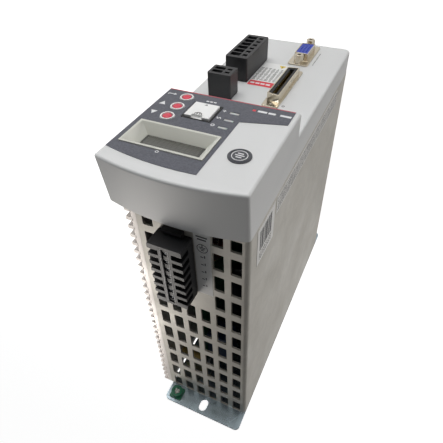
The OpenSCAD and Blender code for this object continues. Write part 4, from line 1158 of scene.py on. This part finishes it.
def terminal_print():
    """Two bars, a ground sign and a dash with a foot for each pole of the mains plug."""
    low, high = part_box("terminal_label")
    u, front = (low.x + high.x) / 2, -low.y
    ground_v, thin = front - 9.5 * MM, 0.4 * MM
    marks = [rectangle(u, front - (3.0 + 1.6 * i) * MM, (5.4 - i) * MM, 0.7 * MM) for i in (0, 1)]
    marks += [rectangle(u, ground_v - i * 0.9 * MM, (3.4 - i) * MM, thin) for i in range(3)]
    marks.append(rectangle(u, ground_v + 1.0 * MM, thin, 1.8 * MM))
    marks += arc_band(u, ground_v - 0.6 * MM, 2.4 * MM, 0.3 * MM, steps=32)
    for pole in range(5):
        v = ground_v - 5.8 * MM - pole * POWER_PITCH
        marks.append(rectangle(u - 0.9 * MM, v, 0.5 * MM, 1.6 * MM))
        marks.append(rectangle(u + 0.5 * MM, v - 0.5 * MM, 1.4 * MM, 0.5 * MM))
    flat_prints("terminal_marks", marks, TOP, high.z, "dark_ink", "label_paper")


def connector_print():
    """A ring by the signal connector and a column of fine print by the feedback connector."""
    low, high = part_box("signal_connector_shell")
    level = -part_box("warning_label")[1].y
    ring = arc_band(low.x - 2.0 * MM, high.z - 4 * MM, 0.5 * MM, 0.35 * MM, steps=16)
    flat_prints("signal_mark", ring, FRONT, level, "grey_ink", "cover_plastic")
    start, word = (low.x - 2.1 * MM, -level, low.z - 13.0 * MM), (0.8 * MM, 1.3 * MM)
    fine_print("feedback_lines", FRONT, start, word, 1.9 * MM, "grey_ink", "cover_plastic", 10, 1, 3)


class DRIVE_OT_labels(bpy.types.Operator):
    """Warning, rating and terminal labels with plain marks"""

    bl_idname = "drive.labels"
    bl_label = "Labels"

    def execute(self, context):
        softened("warning_sticker", "warning_label", "label_paper", "label_paper", 0.03 * MM)
        warning_print()
        softened("rating_stickers", "rating_label", "clear_label", "label_paper", 0.03 * MM)
        rating_print()
        softened("terminal_sticker", "terminal_label", "clear_label", "label_paper", 0.03 * MM)
        terminal_print()
        connector_print()
        return {"FINISHED"}


# ------------------------------------------------------------------ inside

INSIDE = (
    # piece, CAD node, finish, slot, edge radius in mm
    ("display_glass_stack", "display_module", "board", "circuit_board", 0.3),
    ("switch_bodies", "button_switches", "chip_epoxy", "black_plastic", 0.3),
    ("lamp_bodies", "status_lamps", "lamp_epoxy", "light_pipe", 0.2),
    ("control_circuit_board", "control_board", "board", "circuit_board", 0.1),
    ("panel_circuit_board", "panel_board", "board", "circuit_board", 0.1),
    ("power_circuit_board", "power_board", "board", "circuit_board", 0.1),
    ("board_connectors", "board_links", "socket_nylon", "black_plastic", 0.4),
    ("brass_spacers", "board_spacers", "spacer_brass", "contact_brass", 0.2),
    ("pan_head_screws", "board_screws", "screw_steel", "screw_steel", 0.3),
    ("power_block", "power_module", "chip_epoxy", "black_plastic", 0.2),
    ("heat_pad", "thermal_pad", "silicone_pad", "pad_silicone", 0.05),
    ("storage_capacitors", "bus_capacitors", "capacitor_sleeve", "capacitor_sleeve", 1.2),
    ("charge_relay_case", "charge_relay", "relay_blue", "relay_blue", 0.5),
    ("taped_transformer", "supply_transformer", "tape_winding", "transformer_tape", 0.6),
    ("rectifier_block", "rectifier", "chip_epoxy", "black_plastic", 0.5),
    ("chip_packages", "processor_chips", "chip_epoxy", "black_plastic", 0.15),
)


class DRIVE_OT_inside(bpy.types.Operator):
    """Boards and power parts seen through the slots"""

    bl_idname = "drive.inside"
    bl_label = "Inside parts"

    def execute(self, context):
        for name, node, finish, slot, edge in INSIDE:
            softened(name, node, finish, slot, edge * MM)

        # The choke shows only the turns of wire laid round its core
        low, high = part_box("line_choke")
        middle = (low + high) / 2
        bundle = (high.x - low.x) / 2
        ring = (high.z - low.z) / 2 - bundle
        wire = 0.6 * MM
        winding = {
            "Count": 44,
            "Ring Radius": ring,
            "Loop Radius": bundle - wire,
            "Wire Radius": wire,
            "Centre": middle,
            "Turn": (0.0, math.radians(90), 0.0),
        }
        turns = grown("choke_turns", ring_tree(), winding, "copper_winding")
        set_piece(turns, "drive", "copper_winding", "line_choke")
        for polygon in turns.data.polygons:
            polygon.use_smooth = True
        return {"FINISHED"}


# ------------------------------------------------------------------ stage

# How far a plug is drawn out; the floor leaves this much room below the drive
PLUG_TRAVEL = 12 * MM
FLOOR_WIDTH = 6.0

# Where the camera stands and looks, in millimetres in the drive's own frame
CAMERA_AT = Vector((-68.8, -287.6, 196.0)) * MM
CAMERA_TARGET = Vector((14.1, -109.1, 26.1)) * MM
CAMERA_UP = Vector((0.30, -0.66, -0.69))
LENS = 34.5


# Soft boxes: name, place and aim in metres, width, power in watts and tint
DRIVE_MIDDLE = (0.0, -0.1, 0.0)
LIGHTS = (
    ("key_from_front", (0.1, -1.05, -0.1), DRIVE_MIDDLE, 0.7, 8.3, "#FFFFFF"),
    ("fill_from_left", (-0.95, -0.25, -0.1), DRIVE_MIDDLE, 0.8, 1.3, "#FFF4E8"),
    ("fill_from_right", (0.95, -0.35, 0.0), DRIVE_MIDDLE, 0.8, 2.2, "#FFFFFF"),
    ("glow_over_fins", (0.3, 0.28, 0.26), (0.0, -0.03, 0.09), 0.25, 1.15, "#FFFAF4"),
)


def area_light(name, place, aim, size, power, tint):
    """A square soft box that faces the point aim."""
    lamp = bpy.data.lights.new(name, "AREA")
    lamp.shape, lamp.size, lamp.energy = "SQUARE", size, power
    lamp.color = linear(tint)[:3]
    obj = bpy.data.objects.new(name, lamp)
    bpy.context.scene.collection.objects.link(obj)
    obj.location = place
    obj.rotation_mode = "QUATERNION"
    obj.rotation_quaternion = (Vector(aim) - Vector(place)).to_track_quat("-Z", "Y")
    obj.visible_camera = False
    return obj


def pale_floor():
    """Matt white sweep: a faint mottle and a little glow of its own keep it even."""
    material, tree, where = new_material("matt_white_paper")
    tone = add(tree, "ShaderNodeTexNoise", {"Vector": where, "Scale": per_mm(60), "Detail": 2.0})
    shades = {0: tone, MIX_A: linear("#F1F1F0"), MIX_B: linear("#F6F6F5")}
    base = add(tree, "ShaderNodeMix", shades, data_type="RGBA").outputs[MIX_OUT]
    # The paper looks evenly lit, but throws only a part of that light back on the drive
    seen = add(tree, "ShaderNodeLightPath").outputs["Is Camera Ray"]
    glow = add(tree, "ShaderNodeMapRange", {"Value": seen, "To Min": 0.36, "To Max": 0.88})
    light = {"Emission Color": linear("#FFFFFF"), "Emission Strength": glow}
    return skinned(material, {"Base Color": base, "Roughness": 0.9, **light})


class DRIVE_OT_stage(bpy.types.Operator):
    """Pale floor, soft studio light and the camera"""

    bl_idname = "drive.stage"
    bl_label = "Stage"

    def execute(self, context):
        scene = context.scene
        floor_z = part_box("motor_plug")[0].z - PLUG_TRAVEL - 1 * MM
        sheet = bmesh.new()
        corners = rectangle(0.0, 0.0, FLOOR_WIDTH, FLOOR_WIDTH)
        sheet.faces.new([sheet.verts.new((x, y, floor_z)) for x, y in corners])
        floor = from_bmesh("floor", sheet, None)
        floor.data.materials.append(pale_floor())

        for name, place, aim, size, power, tint in LIGHTS:
            area_light(name, place, aim, size, power, tint)

        world = bpy.data.worlds.new("soft_white_room")
        world.use_nodes = True
        tree = world.node_tree
        tree.nodes.clear()
        room = add(tree, "ShaderNodeBackground", {"Color": linear("#F4F6F8"), "Strength": 0.12})
        wall = add(tree, "ShaderNodeBackground", {"Color": linear("#FCFCFC"), "Strength": 1.0})
        seen = add(tree, "ShaderNodeLightPath").outputs["Is Camera Ray"]
        mixed = add(tree, "ShaderNodeMixShader", {0: seen, 1: room.outputs[0], 2: wall.outputs[0]})
        add(tree, "ShaderNodeOutputWorld", {"Surface": mixed.outputs[0]})
        scene.world = world
        scene.view_settings.view_transform = "Standard"

        lens = bpy.data.cameras.new("camera")
        lens.lens, lens.sensor_width = LENS, 36.0
        lens.clip_start, lens.clip_end = 0.01, 20.0
        camera = bpy.data.objects.new("camera", lens)
        scene.collection.objects.link(camera)
        forward = (CAMERA_TARGET - CAMERA_AT).normalized()
        right = forward.cross(CAMERA_UP).normalized()
        up = right.cross(forward)
        turn = Matrix((right, up, -forward)).transposed()
        camera.matrix_world = Matrix.Translation(CAMERA_AT) @ turn.to_4x4()
        scene.camera = camera
        return {"FINISHED"}


# ------------------------------------------------------------------ add-on

OPERATORS = (
    DRIVE_OT_chassis,
    DRIVE_OT_cover,
    DRIVE_OT_panel,
    DRIVE_OT_connectors,
    DRIVE_OT_plugs,
    DRIVE_OT_labels,
    DRIVE_OT_inside,
    DRIVE_OT_stage,
)


class DRIVE_PT_panel(bpy.types.Panel):
    """Lists the drive's sizes, colours and steps"""

    bl_idname = "DRIVE_PT_panel"
    bl_label = "Servo Drive"
    bl_space_type = "VIEW_3D"
    bl_region_type = "UI"
    bl_category = "Servo Drive"

    def draw(self, context):
        for group in (context.scene.drive_sizes, context.scene.drive_colours):
            box = self.layout.box()
            for name in group.__annotations__:
                box.prop(group, name)
        for operator in OPERATORS:
            self.layout.operator(operator.bl_idname)


CLASSES = (DriveColours, DriveSizes, *OPERATORS, DRIVE_PT_panel)


def register():
    for cls in CLASSES:
        bpy.utils.register_class(cls)
    bpy.types.Scene.drive_colours = PointerProperty(type=DriveColours)
    bpy.types.Scene.drive_sizes = PointerProperty(type=DriveSizes)


def unregister():
    del bpy.types.Scene.drive_sizes
    del bpy.types.Scene.drive_colours
    for cls in reversed(CLASSES):
        bpy.utils.unregister_class(cls)


def main():
    """Makes the whole scene."""
    register()
    for operator in OPERATORS:
        group, name = operator.bl_idname.split(".")
        getattr(getattr(bpy.ops, group), name)()


if __name__ == "__main__":
    main()
